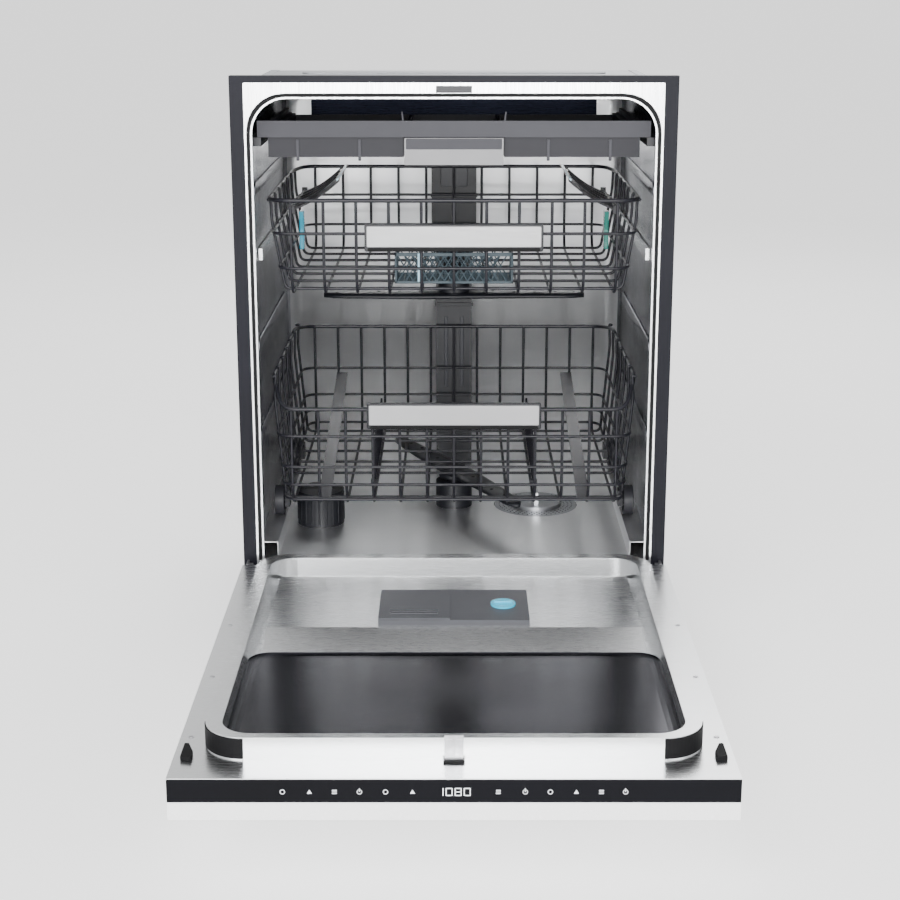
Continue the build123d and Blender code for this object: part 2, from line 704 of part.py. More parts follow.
def arm_blade(radius):
    """A spray arm's outline: wide at its hub, slim at its tips."""
    hub = ARM_HUB_WIDTH / 2
    tip = ARM_TIP_WIDTH / 2
    outline = Polyline([(-radius + tip, -tip), (0, -hub), (radius - tip, -tip), (radius - tip, tip),
                        (0, hub), (-radius + tip, tip)], close=True)
    ends = Pos(-radius + tip, 0) * Circle(tip) + Pos(radius - tip, 0) * Circle(tip)
    return make_face(outline) + ends


def lower_spray_arm():
    blade = extrude(arm_blade(LOWER_ARM_RADIUS), amount=LOWER_ARM_THICKNESS)
    hub = extrude(Pos(0, 0, -LOWER_HUB_DROP) * Circle(ARM_HUB_RADIUS), amount=LOWER_HUB_DROP)
    placed = Pos(0, ARM_Y, LOWER_ARM_Z) * Rot(0, 0, LOWER_ARM_TURN) * (blade + hub)
    save("lower_spray_arm", placed)


def upper_rack():
    front = RACK_FRONT + HANDLE_DEPTH
    rims = (UPPER_RIM, UPPER_RIM, UPPER_RIM)
    save("upper_rack_basket", *basket_wires(RACK_HALF, front, RACK_BACK, UPPER_BASE, rims, UPPER_INSET))
    handle("upper_rack", middle_wire(UPPER_BASE, UPPER_RIM) + UPPER_HANDLE_RISE, front)
    low = UPPER_BASE + RUNNER_RISE
    save("upper_runners", *pair_of(RACK_HALF + 2, OPENING_HALF - 1, RACK_FRONT + 4, RACK_BACK,
                                   low, low + RUNNER_HEIGHT))


def upper_feed():
    top = UPPER_BASE - WIRE - 0.3
    tube = block(-16, 16, ARM_Y, RACK_BACK, top - 16, top)
    hub = upright(0, ARM_Y, UPPER_ARM_Z + ARM_THICKNESS + RUNNING_GAP, top, ARM_HUB_RADIUS)
    save("upper_feed_tube", tube + hub)


def upper_spray_arm():
    blade = extrude(arm_blade(UPPER_ARM_RADIUS), amount=ARM_THICKNESS)
    save("upper_spray_arm", Pos(0, ARM_Y, UPPER_ARM_Z) * blade)


def shelf_pivot():
    """Where a cup shelf turns, as its distance from the middle and its height."""
    return RACK_HALF - UPPER_INSET - 12, UPPER_RIM - SHELF_HINGE_DROP


def cup_shelves():
    x, z = shelf_pivot()
    front = ARM_Y - SHELF_LENGTH / 2 - 60
    back = front + SHELF_LENGTH
    brackets = []
    for side, sign in sides():
        slope = math.radians(SHELF_SLOPE)
        wing = Pos(-SHELF_WING / 2, 0, 0) * Box(SHELF_WING, SHELF_LENGTH, SHELF_THICKNESS)
        knuckle = rod((0, -SHELF_LENGTH / 2, 0), (0, SHELF_LENGTH / 2, 0), SHELF_PIN_RADIUS + 2.5)
        bore = rod((0, -SHELF_LENGTH / 2 - 1, 0), (0, SHELF_LENGTH / 2 + 1, 0),
                   SHELF_PIN_RADIUS + HINGE_CLEARANCE)
        shelf = Rot(0, math.degrees(slope), 0) * (wing + knuckle - bore)
        if sign < 0:
            shelf = mirror(shelf, Plane.YZ)
        save(f"cup_shelf_{side}", Pos(sign * x, (front + back) / 2, z) * shelf)
        pin = rod((sign * x, front - 6, z), (sign * x, back + 6, z), SHELF_PIN_RADIUS)
        for y in (front - 6, back + 1):
            pin += block(sign * x - 4, sign * x + 4, y, y + 5, z - 6, z + 6)
        brackets.append(pin)
    save("cup_shelf_pins", *brackets)


def height_levers():
    outer = RACK_HALF - UPPER_INSET - LEVER_GAP
    y = ARM_Y + LEVER_SETBACK
    for side, sign in sides():
        lever = mirror_block(sign, outer - LEVER_THICKNESS, outer, y, y + LEVER_WIDTH, LEVER_LOW, LEVER_TOP)
        save(f"height_lever_{side}", lever)


def small_item_basket():
    low = UPPER_BASE + 3 * WIRE + 0.3
    front = RACK_FRONT + HANDLE_DEPTH + 60
    save("small_item_basket", open_box(-BASKET_WIDTH / 2, BASKET_WIDTH / 2, front, front + BASKET_DEPTH,
                                       low, low + BASKET_HEIGHT, BASKET_WALL))


# Cutlery tray

def cutlery_tray():
    back = RACK_BACK - TRAY_BACK_GAP
    band_back = RACK_FRONT + TRAY_BAND_THICKNESS
    frame = block(-TRAY_HALF, TRAY_HALF, RACK_FRONT, band_back, TRAY_LIP, TRAY_TOP)
    for sign in (-1, 1):
        frame += mirror_block(sign, TRAY_HALF - TRAY_BAR, TRAY_HALF, band_back, back, TRAY_LIP, TRAY_LIP + 10)
    save("tray_frame", frame)
    outer = TRAY_HALF - TRAY_BAR - 2
    lip_outer = TRAY_HALF - TRAY_BAR
    trays = []
    for side, sign in sides():
        low, high = sorted((sign * (TRAY_CENTRE_HALF + 1), sign * (outer - 6)))
        tray = open_box(low, high, band_back, back, TRAY_BASE, TRAY_LIP, TRAY_WALL)
        tray += mirror_block(sign, outer - 6 - TRAY_WALL, lip_outer, band_back, back,
                             TRAY_LIP, TRAY_LIP + TRAY_WALL)
        trays.append(tray)
    save("cutlery_tray_sides", *trays)
    centre = open_box(-TRAY_CENTRE_HALF, TRAY_CENTRE_HALF, band_back, back,
                      TRAY_BASE - TRAY_CENTRE_DROP, TRAY_LIP, TRAY_WALL)
    save("cutlery_tray_centre", centre)
    save("tray_handle", block(-TRAY_CENTRE_HALF, TRAY_CENTRE_HALF, RACK_FRONT - 3, band_back,
                              TRAY_BASE - TRAY_CENTRE_DROP, TRAY_LIP - 1))


os.makedirs("parts", exist_ok=True)
for make in (feet, base_tray, kick_plate, casing_panels, side_trims, top_trim, tub_walls, tub_floor,
             tub_ledges, front_frame, door_gasket, latch_housing, sump, filter_plate,
             micro_filter, salt_cap, feed_duct, lower_arm_post, ceiling_spray, rack_rails, tray_rails,
             machinery, hinges, furniture_panel, door_tray, control_panel, control_board, door_liner,
             corner_guards, latch_catch, dispenser, lower_rack, lower_rack_fittings, lower_spray_arm,
             upper_rack, upper_feed, upper_spray_arm, cup_shelves, height_levers, small_item_basket,
             cutlery_tray):
    make()
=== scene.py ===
import json
import math

import bmesh
import bpy
from mathutils import Matrix, Vector


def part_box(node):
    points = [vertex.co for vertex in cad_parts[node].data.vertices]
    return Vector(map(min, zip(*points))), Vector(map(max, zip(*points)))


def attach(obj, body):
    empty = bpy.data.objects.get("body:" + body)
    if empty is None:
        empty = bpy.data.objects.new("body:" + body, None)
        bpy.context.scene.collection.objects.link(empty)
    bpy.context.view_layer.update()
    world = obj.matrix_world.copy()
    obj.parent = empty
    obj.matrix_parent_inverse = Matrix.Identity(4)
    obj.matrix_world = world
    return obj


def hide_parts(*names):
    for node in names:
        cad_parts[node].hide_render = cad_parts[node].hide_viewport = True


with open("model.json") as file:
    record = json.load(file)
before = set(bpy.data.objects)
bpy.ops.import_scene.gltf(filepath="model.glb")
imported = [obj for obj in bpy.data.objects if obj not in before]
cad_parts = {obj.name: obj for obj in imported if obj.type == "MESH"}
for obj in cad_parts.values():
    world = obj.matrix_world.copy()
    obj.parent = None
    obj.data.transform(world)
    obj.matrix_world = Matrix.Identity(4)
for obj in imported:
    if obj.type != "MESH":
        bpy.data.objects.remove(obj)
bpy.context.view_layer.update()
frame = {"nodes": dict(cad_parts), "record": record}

NODES = frame["nodes"]
MM = 0.001


# Places read from the frame

def low(node):
    return Vector(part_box(node)[0])


def high(node):
    return Vector(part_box(node)[1])


def ends(name):
    """A CAD node's low and high corners."""
    return low(name), high(name)


def middle(node):
    return (low(node) + high(node)) / 2


FRONT = low("side_trims").y
HALF = high("side_trims").x

# The camera, as fitted to the outline edges of the cabinet and the open door
CAMERA_LENS = 68.72
CAMERA_PITCH = 14.74
CAMERA_DISTANCE = 2.3194
CAMERA_RISE = 0.8022
CAMERA_SHIFT_X = -0.0044
CAMERA_SHIFT_Y = -0.0222

FLOOR_GLOW = 0.6
FLOOR_REACH = 400
VIEW_REACH = 900


# Materials: every one varies in colour and roughness over its surface and has its own fine relief

def add_node(tree, kind, **values):
    node = tree.nodes.new(kind)
    for name, value in values.items():
        setattr(node, name, value)
    return node


def noise(tree, coords, scale, stretch=(1, 1, 1), detail=4.0):
    mapping = add_node(tree, "ShaderNodeMapping")
    mapping.inputs["Scale"].default_value = stretch
    tree.links.new(coords, mapping.inputs["Vector"])
    texture = add_node(tree, "ShaderNodeTexNoise")
    texture.inputs["Scale"].default_value = scale
    texture.inputs["Detail"].default_value = detail
    tree.links.new(mapping.outputs["Vector"], texture.inputs["Vector"])
    return texture.outputs["Fac"]


def ramp(tree, factor, first, last, start=0.3, end=0.7):
    """Two colours or two greys, blended by a factor."""
    blend = add_node(tree, "ShaderNodeValToRGB")
    blend.color_ramp.elements[0].position = start
    blend.color_ramp.elements[1].position = end
    blend.color_ramp.elements[0].color = first
    blend.color_ramp.elements[1].color = last
    tree.links.new(factor, blend.inputs["Fac"])
    return blend.outputs["Color"]


def grey(value):
    return (value, value, value, 1)


def shade(colour, factor):
    return tuple(min(1.0, c * factor) for c in colour) + (1,)


def surface(name, colour, rough, metal=0.0, vary=0.1, vary_scale=6.0, rough_vary=0.06, grain=900.0,
            stretch=(1, 1, 1), relief=0.02, coat=0.0, coat_rough=0.1, specular=0.5):
    """A principled material: cloudy noise varies its colour, fine noise its roughness and relief."""
    made = bpy.data.materials.new(name)
    made.use_nodes = True
    tree = made.node_tree
    shader = tree.nodes["Principled BSDF"]
    coords = add_node(tree, "ShaderNodeTexCoord").outputs["Object"]
    cloud = noise(tree, coords, vary_scale)
    fine = noise(tree, coords, grain, stretch, 6.0)
    tree.links.new(ramp(tree, cloud, shade(colour, 1 - vary), shade(colour, 1 + vary)),
                   shader.inputs["Base Color"])
    tree.links.new(ramp(tree, fine, grey(max(0.02, rough - rough_vary)), grey(min(1, rough + rough_vary))),
                   shader.inputs["Roughness"])
    bump = add_node(tree, "ShaderNodeBump")
    bump.inputs["Strength"].default_value = relief
    bump.inputs["Distance"].default_value = 0.5 * MM
    tree.links.new(fine, bump.inputs["Height"])
    tree.links.new(bump.outputs["Normal"], shader.inputs["Normal"])
    shader.inputs["Metallic"].default_value = metal
    shader.inputs["Coat Weight"].default_value = coat
    shader.inputs["Coat Roughness"].default_value = coat_rough
    shader.inputs["Specular IOR Level"].default_value = specular
    return made


def plastic(name, colour, rough, vary, vary_scale, grain, relief=0.1, specular=0.3, **more):
    """Moulded plastic, rubber or paint: no metal, and a fine even grain."""
    return surface(name, colour, rough, vary=vary, vary_scale=vary_scale, grain=grain, relief=relief,
                   specular=specular, **more)


BRUSH_X = (1.5, 60, 60)  # noise drawn out along X
BRUSH_Z = (60, 60, 1.5)
steel = surface("steel", (0.78, 0.79, 0.8), 0.26, metal=1.0, vary=0.025, vary_scale=5, rough_vary=0.045,
                grain=40, stretch=(1.2, 90, 90), relief=0.03)
steel_frame = surface("steel_frame", (0.83, 0.84, 0.85), 0.3, metal=1.0, vary=0.04, vary_scale=4,
                      rough_vary=0.08, grain=22, stretch=BRUSH_Z, relief=0.04)
steel_tub = surface("steel_tub", (0.93, 0.935, 0.95), 0.34, metal=1.0, vary=0.07, vary_scale=4, grain=24,
                    stretch=BRUSH_Z)
# Near-black steel for the tub ceiling sheet: painted shade and painted dark reflection.
ceiling_shade_steel = surface("ceiling_shade_steel", (0.008, 0.009, 0.015), 0.3, metal=1.0, vary=0.3, vary_scale=5,
                     rough_vary=0.07, grain=24, stretch=BRUSH_X, relief=0.05)
zinc = surface("zinc", (0.5, 0.5, 0.52), 0.38, metal=1.0, vary=0.22, vary_scale=60, rough_vary=0.1,
               grain=300, relief=0.04)
galvanised = surface("galvanised", (0.4, 0.41, 0.43), 0.4, metal=0.9, vary=0.07, vary_scale=14,
                     rough_vary=0.08, grain=320, relief=0.03)
trim_paint = plastic("trim_paint", (0.0065, 0.0066, 0.0105), 0.45, 0.15, 9, 1400, relief=0.08,
                     specular=0.12)
base_plastic = plastic("base_plastic", (0.014, 0.014, 0.016), 0.55, 0.15, 12, 1800, rough_vary=0.08,
                       relief=0.2)
rubber = plastic("rubber", (0.003, 0.003, 0.0036), 0.62, 0.2, 30, 1500, rough_vary=0.08, relief=0.15,
                 specular=0.15)
dark_plastic = plastic("dark_plastic", (0.0085, 0.009, 0.012), 0.36, 0.15, 14, 1600)
tray_plastic = plastic("tray_plastic", (0.04, 0.04, 0.047), 0.5, 0.08, 10, 1600, specular=0.2)
tray_grip = surface("tray_grip", (0.16, 0.16, 0.165), 0.38, metal=0.2, vary=0.06, vary_scale=8, grain=24,
                    stretch=BRUSH_X, relief=0.04, specular=0.3)
wire_coat = plastic("wire_coat", (0.012, 0.012, 0.016), 0.34, 0.12, 40, 900, rough_vary=0.07, relief=0.08,
                    coat=0.05, specular=0.25)
handle_steel = surface("handle_steel", (0.31, 0.31, 0.315), 0.42, metal=0.6, vary=0.05, vary_scale=7,
                       rough_vary=0.08, grain=22, stretch=BRUSH_X, relief=0.05)
lacquer = plastic("lacquer", (0.83, 0.83, 0.83), 0.26, 0.012, 5, 240, rough_vary=0.03, relief=0.03,
                  coat=0.4, specular=0.5)
black_gloss = plastic("black_gloss", (0.001, 0.0011, 0.0024), 0.18, 0.2, 6, 300, rough_vary=0.03,
                      relief=0.01, coat=0.02, coat_rough=0.05, specular=0.1)
print_white = plastic("print_white", (0.75, 0.77, 0.8), 0.5, 0.04, 200, 2000, rough_vary=0.05,
                      relief=0.05, specular=0.5)
dispenser_grey = plastic("dispenser_grey", (0.06, 0.062, 0.07), 0.4, 0.08, 16, 1500)
cyan = plastic("cyan", (0.02, 0.42, 0.62), 0.25, 0.12, 20, 900, rough_vary=0.05, relief=0.05, coat=0.2)
teal = plastic("teal", (0.02, 0.25, 0.2), 0.27, 0.12, 20, 900, rough_vary=0.05, relief=0.05, coat=0.2)
pale_blue = plastic("pale_blue", (0.42, 0.66, 0.8), 0.22, 0.06, 20, 900, rough_vary=0.05, relief=0.05,
                    coat=0.3, specular=0.5)
basket_blue = plastic("basket_blue", (0.038, 0.06, 0.074), 0.42, 0.12, 30, 1200, rough_vary=0.07)
mesh_steel = surface("mesh_steel", (0.45, 0.46, 0.48), 0.4, metal=1.0, vary_scale=40, rough_vary=0.1,
                     grain=700, relief=0.2)
circuit = plastic("circuit", (0.01, 0.09, 0.03), 0.4, 0.3, 90, 600, rough_vary=0.08, specular=0.5)
floor_paint = plastic("floor_paint", (0.95, 0.95, 0.95), 0.6, 0.01, 3, 60, rough_vary=0.04, relief=0.01,
                      specular=0.5)
floor_shader = floor_paint.node_tree.nodes["Principled BSDF"]
floor_shader.inputs["Emission Color"].default_value = (1, 1, 1, 1)
floor_shader.inputs["Emission Strength"].default_value = FLOOR_GLOW

# A darker copy of the tub steel for side-facing walls and ribs, with strong cloudy variation: painted shade
# and painted reflections.
shaded_side_steel = surface("shaded_side_steel", (0.34, 0.345, 0.37), 0.24, metal=1.0, vary=0.55, vary_scale=9,
                     rough_vary=0.08, grain=26, stretch=BRUSH_Z, relief=0.05)
# A darker copy of the tray plastic for the tray's sides: painted shade.
shaded_tray_plastic = plastic("shaded_tray_plastic", (0.017, 0.017, 0.021), 0.5, 0.08, 10, 1600, specular=0.2)
shelf_plastic = plastic("shelf_plastic", (0.018, 0.0175, 0.02), 0.4, 0.1, 12, 1500)
wheel_plastic = plastic("wheel_plastic", (0.024, 0.024, 0.029), 0.42, 0.1, 16, 1400, rough_vary=0.07,
                        relief=0.12)
# Near-black steel for the door's well: painted dark reflection.
well_reflection_steel = surface("well_reflection_steel", (0.028, 0.028, 0.036), 0.2, metal=1.0, vary=0.3, rough_vary=0.05,
                     grain=22, stretch=BRUSH_X, relief=0.03)
pale_strip = plastic("pale_strip", (0.66, 0.67, 0.69), 0.35, 0.02, 20, 900, rough_vary=0.05, relief=0.03,
                     specular=0.5)
duct_plastic = plastic("duct_plastic", (0.016, 0.017, 0.023), 0.34, 0.12, 14, 1500)
display_glow = plastic("display_glow", (0.85, 0.87, 0.9), 0.4, 0.04, 200, 2000, rough_vary=0.05,
                       relief=0.02, specular=0.5)

FINISHES = {
    "stainless": steel, "galvanised": galvanised, "trim": trim_paint, "base_plastic": base_plastic,
    "black_rubber": rubber, "dark_plastic": dark_plastic, "tray_plastic": tray_plastic,
    "tray_grip": tray_grip, "coated_wire": wire_coat, "handle_plate": handle_steel,
    "white_board": lacquer, "black_gloss": black_gloss, "dispenser_plastic": dispenser_grey,
    "lever_blue": cyan, "lever_teal": teal, "basket_blue": basket_blue, "salt_plastic": dark_plastic,
    "filter_steel": mesh_steel, "circuit": circuit, "hinge_steel": zinc, "motor_metal": zinc,
}


# Building pieces

def finish_piece(thing, body, material, replaces=()):
    thing.data.materials.clear()
    thing.data.materials.append(material)
    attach(thing, body)
    if replaces:
        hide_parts(*replaces)
    return thing


def link(name, data):
    thing = bpy.data.objects.new(name, data)
    bpy.context.scene.collection.objects.link(thing)
    return thing


def round_edges(thing, width, segments=3, angle=40):
    bevel = thing.modifiers.new("round_edges", "BEVEL")
    bevel.width = width
    bevel.segments = segments
    bevel.limit_method = "ANGLE"
    bevel.angle_limit = math.radians(angle)
    bevel.harden_normals = False


def smooth(mesh):
    for polygon in mesh.polygons:
        polygon.use_smooth = True


def from_bmesh(name, work, body, material, bevel=0.0, segments=3, replaces=()):
    bmesh.ops.recalc_face_normals(work, faces=work.faces)
    data = bpy.data.meshes.new(name)
    work.to_mesh(data)
    work.free()
    thing = link(name, data)
    if bevel:
        round_edges(thing, bevel, segments)
    return finish_piece(thing, body, material, replaces)


def add_box(work, corner, other):
    """Adds a closed box between two corners to a bmesh."""
    made = bmesh.ops.create_cube(work, size=1.0)
    size = Vector(other) - Vector(corner)
    centre = (Vector(other) + Vector(corner)) / 2
    for vert in made["verts"]:
        vert.co = vert.co * size + centre


def add_prism(work, outline, start, end, axis="z"):
    """Adds an outline of (a, b) points pushed from start to end along an axis."""
    place = {"x": along_x, "y": along_y, "z": along_z}[axis]
    first = [work.verts.new(place(a, b, start)) for a, b in outline]
    last = [work.verts.new(place(a, b, end)) for a, b in outline]
    count = len(outline)
    work.faces.new(first)
    work.faces.new(last[::-1])
    for index in range(count):
        after = (index + 1) % count
        work.faces.new((first[index], first[after], last[after], last[index]))


def add_disc(work, centre, radius, depth, axis="z", steps=32, top_radius=None):
    """Adds a round slab or cone that starts at centre and runs depth along an axis."""
    made = bmesh.ops.create_cone(work, cap_ends=True, segments=steps, radius1=radius,
                                 radius2=radius if top_radius is None else top_radius, depth=depth)
    turn = {"z": Matrix.Identity(3), "y": Matrix.Rotation(-math.pi / 2, 3, "X"),
            "x": Matrix.Rotation(math.pi / 2, 3, "Y")}[axis]
    for vert in made["verts"]:
        vert.co = turn @ (vert.co + Vector((0, 0, depth / 2))) + Vector(centre)


def rounded_outline(x0, x1, y0, y1, radius, steps=8):
    """A rectangle's outline with round corners, anticlockwise."""
    points = []
    for centre_x, centre_y, turn in ((x1 - radius, y0 + radius, -90), (x1 - radius, y1 - radius, 0),
                                     (x0 + radius, y1 - radius, 90), (x0 + radius, y0 + radius, 180)):
        for step in range(steps + 1):
            angle = math.radians(turn + 90 * step / steps)
            points.append((centre_x + radius * math.cos(angle), centre_y + radius * math.sin(angle)))
    return points


def add_slab(work, shape, start, end, axis="z"):
    """Adds a slab with round corners; shape is what rounded_outline takes."""
    add_prism(work, rounded_outline(*shape), start, end, axis)


def circle(a, b, radius, steps):
    return [(a + radius * math.cos(step * math.tau / steps), b + radius * math.sin(step * math.tau / steps))
            for step in range(steps)]


def arch_corners(x, top, radius, steps):
    """The two round upper corners of an opening from -x to x, left one first."""
    points = []
    for centre, turn in ((-x + radius, 180), (x - radius, 90)):
        for step in range(steps + 1):
            angle = math.radians(turn - 90 * step / steps)
            points.append((centre + radius * math.cos(angle), top - radius + radius * math.sin(angle)))
    return points


def rectangle(a0, a1, b0, b1):
    return [(a0, b0), (a1, b0), (a1, b1), (a0, b1)]


def bridge(work, rings, closed=True):
    """Adds the faces between each ring of vertices and the next."""
    for ring, after in zip(rings, rings[1:]):
        for index in range(len(ring) if closed else len(ring) - 1):
            following = (index + 1) % len(ring)
            work.faces.new((ring[index], ring[following], after[following], after[index]))


def add_hoop(work, outer, inner, start, end, place):
    """Adds a closed hoop between two outlines, from start to end along place's third axis."""
    rings = [[work.verts.new(place(p, q, depth)) for p, q in ring] for depth, ring in
             ((start, outer), (end, outer), (end, inner), (start, inner))]
    bridge(work, rings + rings[:1])


def along_x(a, b, depth):
    return (depth, a, b)


def along_y(a, b, depth):
    return (a, depth, b)


def along_z(a, b, depth):
    return (a, b, depth)


def bent(points, radius, steps=6, closed=False):
    """A path through points with its corners rounded."""
    points = [Vector(p) for p in points]
    count = len(points)
    path = []
    for index, corner in enumerate(points):
        if not closed and index in (0, count - 1):
            path.append(corner)
            continue
        before = points[index - 1] - corner
        after = points[(index + 1) % count] - corner
        reach = min(radius, before.length * 0.48, after.length * 0.48)
        start = corner + before.normalized() * reach
        end = corner + after.normalized() * reach
        for step in range(steps + 1):
            t = step / steps
            path.append(start * (1 - t) ** 2 + corner * 2 * t * (1 - t) + end * t ** 2)
    return path


def wires(name, paths, radius, body, material, replaces=(), sides=3):
    """Round wire along each path; a path is (points, closed) or just points."""
    data = bpy.data.curves.new(name, "CURVE")
    data.dimensions = "3D"
    data.bevel_depth = radius
    data.bevel_resolution = sides
    data.use_fill_caps = True
    for path in paths:
        points, closed = path if isinstance(path, tuple) else (path, False)
        spline = data.splines.new("POLY")
        spline.points.add(len(points) - 1)
        for point, place in zip(spline.points, points):
            point.co = (*place, 1)
        spline.use_cyclic_u = closed
        spline.use_smooth = True
    thing = link(name, data)
    return finish_piece(thing, body, material, replaces)


def spread(start, end, pitch):
    gaps = max(1, round((end - start) / pitch))
    return [start + (end - start) * step / gaps for step in range(gaps + 1)]


# CAD nodes that keep their shape get a finish and rounded edges

def dress_cad_nodes():
    slots = {part["node"]: part["material_slot"] for part in frame["record"]["subparts"]}
    fine = {"tub_walls": 0, "tub_floor": 0, "lower_rack_basket": 0, "upper_rack_basket": 0,
            "fold_tines_left": 0, "fold_tines_right": 0, "casing_panels": 0.3, "front_frame": 0.8,
            "door_liner": 2.5, "door_gasket": 1.2, "furniture_panel": 1.2, "control_panel": 0.8}
    for node, thing in NODES.items():
        thing.data.materials.clear()
        thing.data.materials.append(FINISHES[slots[node]])
        width = fine.get(node, 0.8)
        if width:
            round_edges(thing, width * MM)
    NODES["front_frame"].data.materials[0] = steel_frame
    NODES["tub_walls"].data.materials[0] = steel_tub
    NODES["tub_floor"].data.materials[0] = steel_tub
    NODES["wheel_ledges"].data.materials[0] = steel_tub
    # The tray's sides take the darker tray plastic: painted shade.
    NODES["cutlery_tray_sides"].data.materials[0] = shaded_tray_plastic


# Tub

def tub_lining():
    """The pressed steel inside of the tub: round corners and a round back edge."""
    corner = 52 * MM
    back_round = 26 * MM
    inner = high("tray_rails").x
    floor = high("tub_floor").z
    ceiling = high("tub_walls").z - 2 * MM
    front = low("tub_floor").y
    back = high("feed_duct").y
    skin = 0.8 * MM
    work = bmesh.new()
    rings = []
    depth_steps = [front, front + 0.15 * (back - front), front + 0.5 * (back - front), back - back_round]
    shrink = [0, 0, 0, 0]
    for step in range(1, 9):
        angle = math.pi / 2 * step / 8
        depth_steps.append(back - back_round + back_round * math.sin(angle))
        shrink.append(back_round * (1 - math.cos(angle)))
    for depth, inset in zip(depth_steps, shrink):
        x = inner - skin - inset
        z0 = floor + skin
        z1 = ceiling - skin - inset
        radius = max(corner - inset, 4 * MM)
        outline = [(-x, z0), *arch_corners(x, z1, radius, 8), (x, z0)]
        rings.append([work.verts.new((a, depth - skin, b)) for a, b in outline])
    bridge(work, rings, closed=False)
    work.faces.new(rings[-1])
    data = bpy.data.meshes.new("tub_lining")
    bmesh.ops.recalc_face_normals(work, faces=work.faces)
    work.to_mesh(data)
    work.free()
    smooth(data)
    thing = link("tub_lining", data)
    thick = thing.modifiers.new("thickness", "SOLIDIFY")
    thick.thickness = 0.5 * MM
    thick.offset = 0
    finish_piece(thing, "cabinet", steel_tub)
    # Side-facing faces take the darker side steel: painted shade and painted reflections on the side walls.
    data.materials.append(shaded_side_steel)
    for polygon in data.polygons:
        if abs(polygon.normal.x) > 0.8:
            polygon.material_index = 1


def tub_side_ribs():
    """Shallow stamped ribs along the tub's side walls."""
    rib_heights = (310, 440, 660)
    back = high("feed_duct").y
    inner = high("tray_rails").x
    work = bmesh.new()
    for sign in (-1, 1):
        for height in rib_heights:
            near, far = sorted((sign * (inner - 3.5 * MM), sign * (inner - 1 * MM)))
            add_slab(work, (FRONT + 60 * MM, back - 60 * MM, (height - 9) * MM, (height + 9) * MM, 8.9 * MM),
                     near, far, "x")
    # The ribs use the darker side steel of painted shade and painted reflections.
    piece = from_bmesh("tub_side_ribs", work, "cabinet", shaded_side_steel, 1.6 * MM, 4)
    smooth(piece.data)


def tub_ceiling_shade_sheet():
    """The near-black ceiling sheet, turned down at the back: painted shade and painted dark reflection under
    the tub's roof.
    """
    inner = high("tray_rails").x - 46 * MM
    z = high("ceiling_spray").z
    back = high("feed_duct").y
    work = bmesh.new()
    add_slab(work, (-inner, inner, FRONT + 6 * MM, back - 24 * MM, 14 * MM), z - 2.4 * MM, z - 1.2 * MM)
    add_slab(work, (-inner, inner, z - 96 * MM, z - 4 * MM, 10 * MM), back - 2.2 * MM, back - 1.1 * MM, "y")
    from_bmesh("tub_ceiling_shade_sheet", work, "cabinet", ceiling_shade_steel, 0.5 * MM)


# Racks

def basket(name, front_rim, side_rim, back_rim, inset, levels, pitch, cross_pitch, hook):
    """A wire basket bent from round wire: floor wires, wall loops and hooked side wires."""
    node = f"{name}_basket"
    corner_low = low(node)
    corner_high = high(node)
    rim_r = 2.9 * MM
    wire_r = 2.1 * MM
    edge = corner_high.x - rim_r
    floor_half = edge - inset
    y0 = corner_low.y + rim_r
    y1 = corner_high.y - rim_r
    floor = corner_low.z + wire_r + 0.2 * MM

    def half_at(z):
        share = max(0.0, min(1.0, (z - floor) / (side_rim - floor)))
        return floor_half + (edge - floor_half) * share

    paths = []
    for x in spread(-floor_half + 12 * MM, floor_half - 12 * MM, pitch):
        paths.append(bent([(x, y0 + wire_r, front_rim), (x, y0 + wire_r, floor + 26 * MM),
                           (x, y0 + 18 * MM, floor), (x, y1 - 18 * MM, floor),
                           (x, y1 - wire_r, floor + 26 * MM), (x, y1 - wire_r, back_rim)], 16 * MM))
    for y in spread(y0 + 34 * MM, y1 - 34 * MM, cross_pitch):
        side = []
        bend = side_rim - 30 * MM
        for sign in (-1, 1):
            rise = [(sign * floor_half, y, floor + 2 * wire_r), (sign * half_at(bend), y, bend),
                    (sign * (edge - 2 * wire_r), y, side_rim + hook)]
            if hook:
                rise.append((sign * (edge + 0.8 * MM), y, side_rim + hook - 3 * MM))
            side.append(rise)
        paths.append(bent(side[0][::-1] + side[1], 9 * MM))
    fine = []
    for z in levels:
        x = half_at(z)
        loop = [(-x, y0, z), (x, y0, z), (x, y1, z), (-x, y1, z)]
        fine.append((bent(loop, 26 * MM, 8, True), True))
    sag = 46 * MM
    rim = [(-edge, y0 + sag, side_rim), (-edge + 16 * MM, y0, front_rim), (edge - 16 * MM, y0, front_rim),
           (edge, y0 + sag, side_rim), (edge, y1 - sag, side_rim), (edge - 16 * MM, y1, back_rim),
           (-edge + 16 * MM, y1, back_rim), (-edge, y1 - sag, side_rim)]
    rims = [(bent(rim, 20 * MM, 8, True), True)]
    wires(f"{name}_wires", paths + fine, wire_r, name, wire_coat, (node,))
    wires(f"{name}_rim", rims, rim_r, name, wire_coat)


def lower_rack():
    front_rim = middle("lower_rack_handle").z + 8 * MM
    side_rim = high("lower_rack_basket").z - 3 * MM
    floor = low("lower_rack_basket").z
    rise = front_rim - floor
    levels = [floor + rise * share for share in (0.09, 0.24, 0.42, 0.73)]
    basket("lower_rack", front_rim, side_rim - 4 * MM, side_rim - 10 * MM, inset=16 * MM, levels=levels,
           pitch=39 * MM, cross_pitch=58 * MM, hook=5 * MM)


def upper_rack():
    rim = high("upper_rack_basket").z - 3 * MM
    floor = low("upper_rack_basket").z
    levels = [floor + (rim - floor) * share for share in (0.3, 0.66)]
    basket("upper_rack", rim, rim - 3 * MM, rim, inset=22 * MM, levels=levels,
           pitch=46 * MM, cross_pitch=62 * MM, hook=2 * MM)


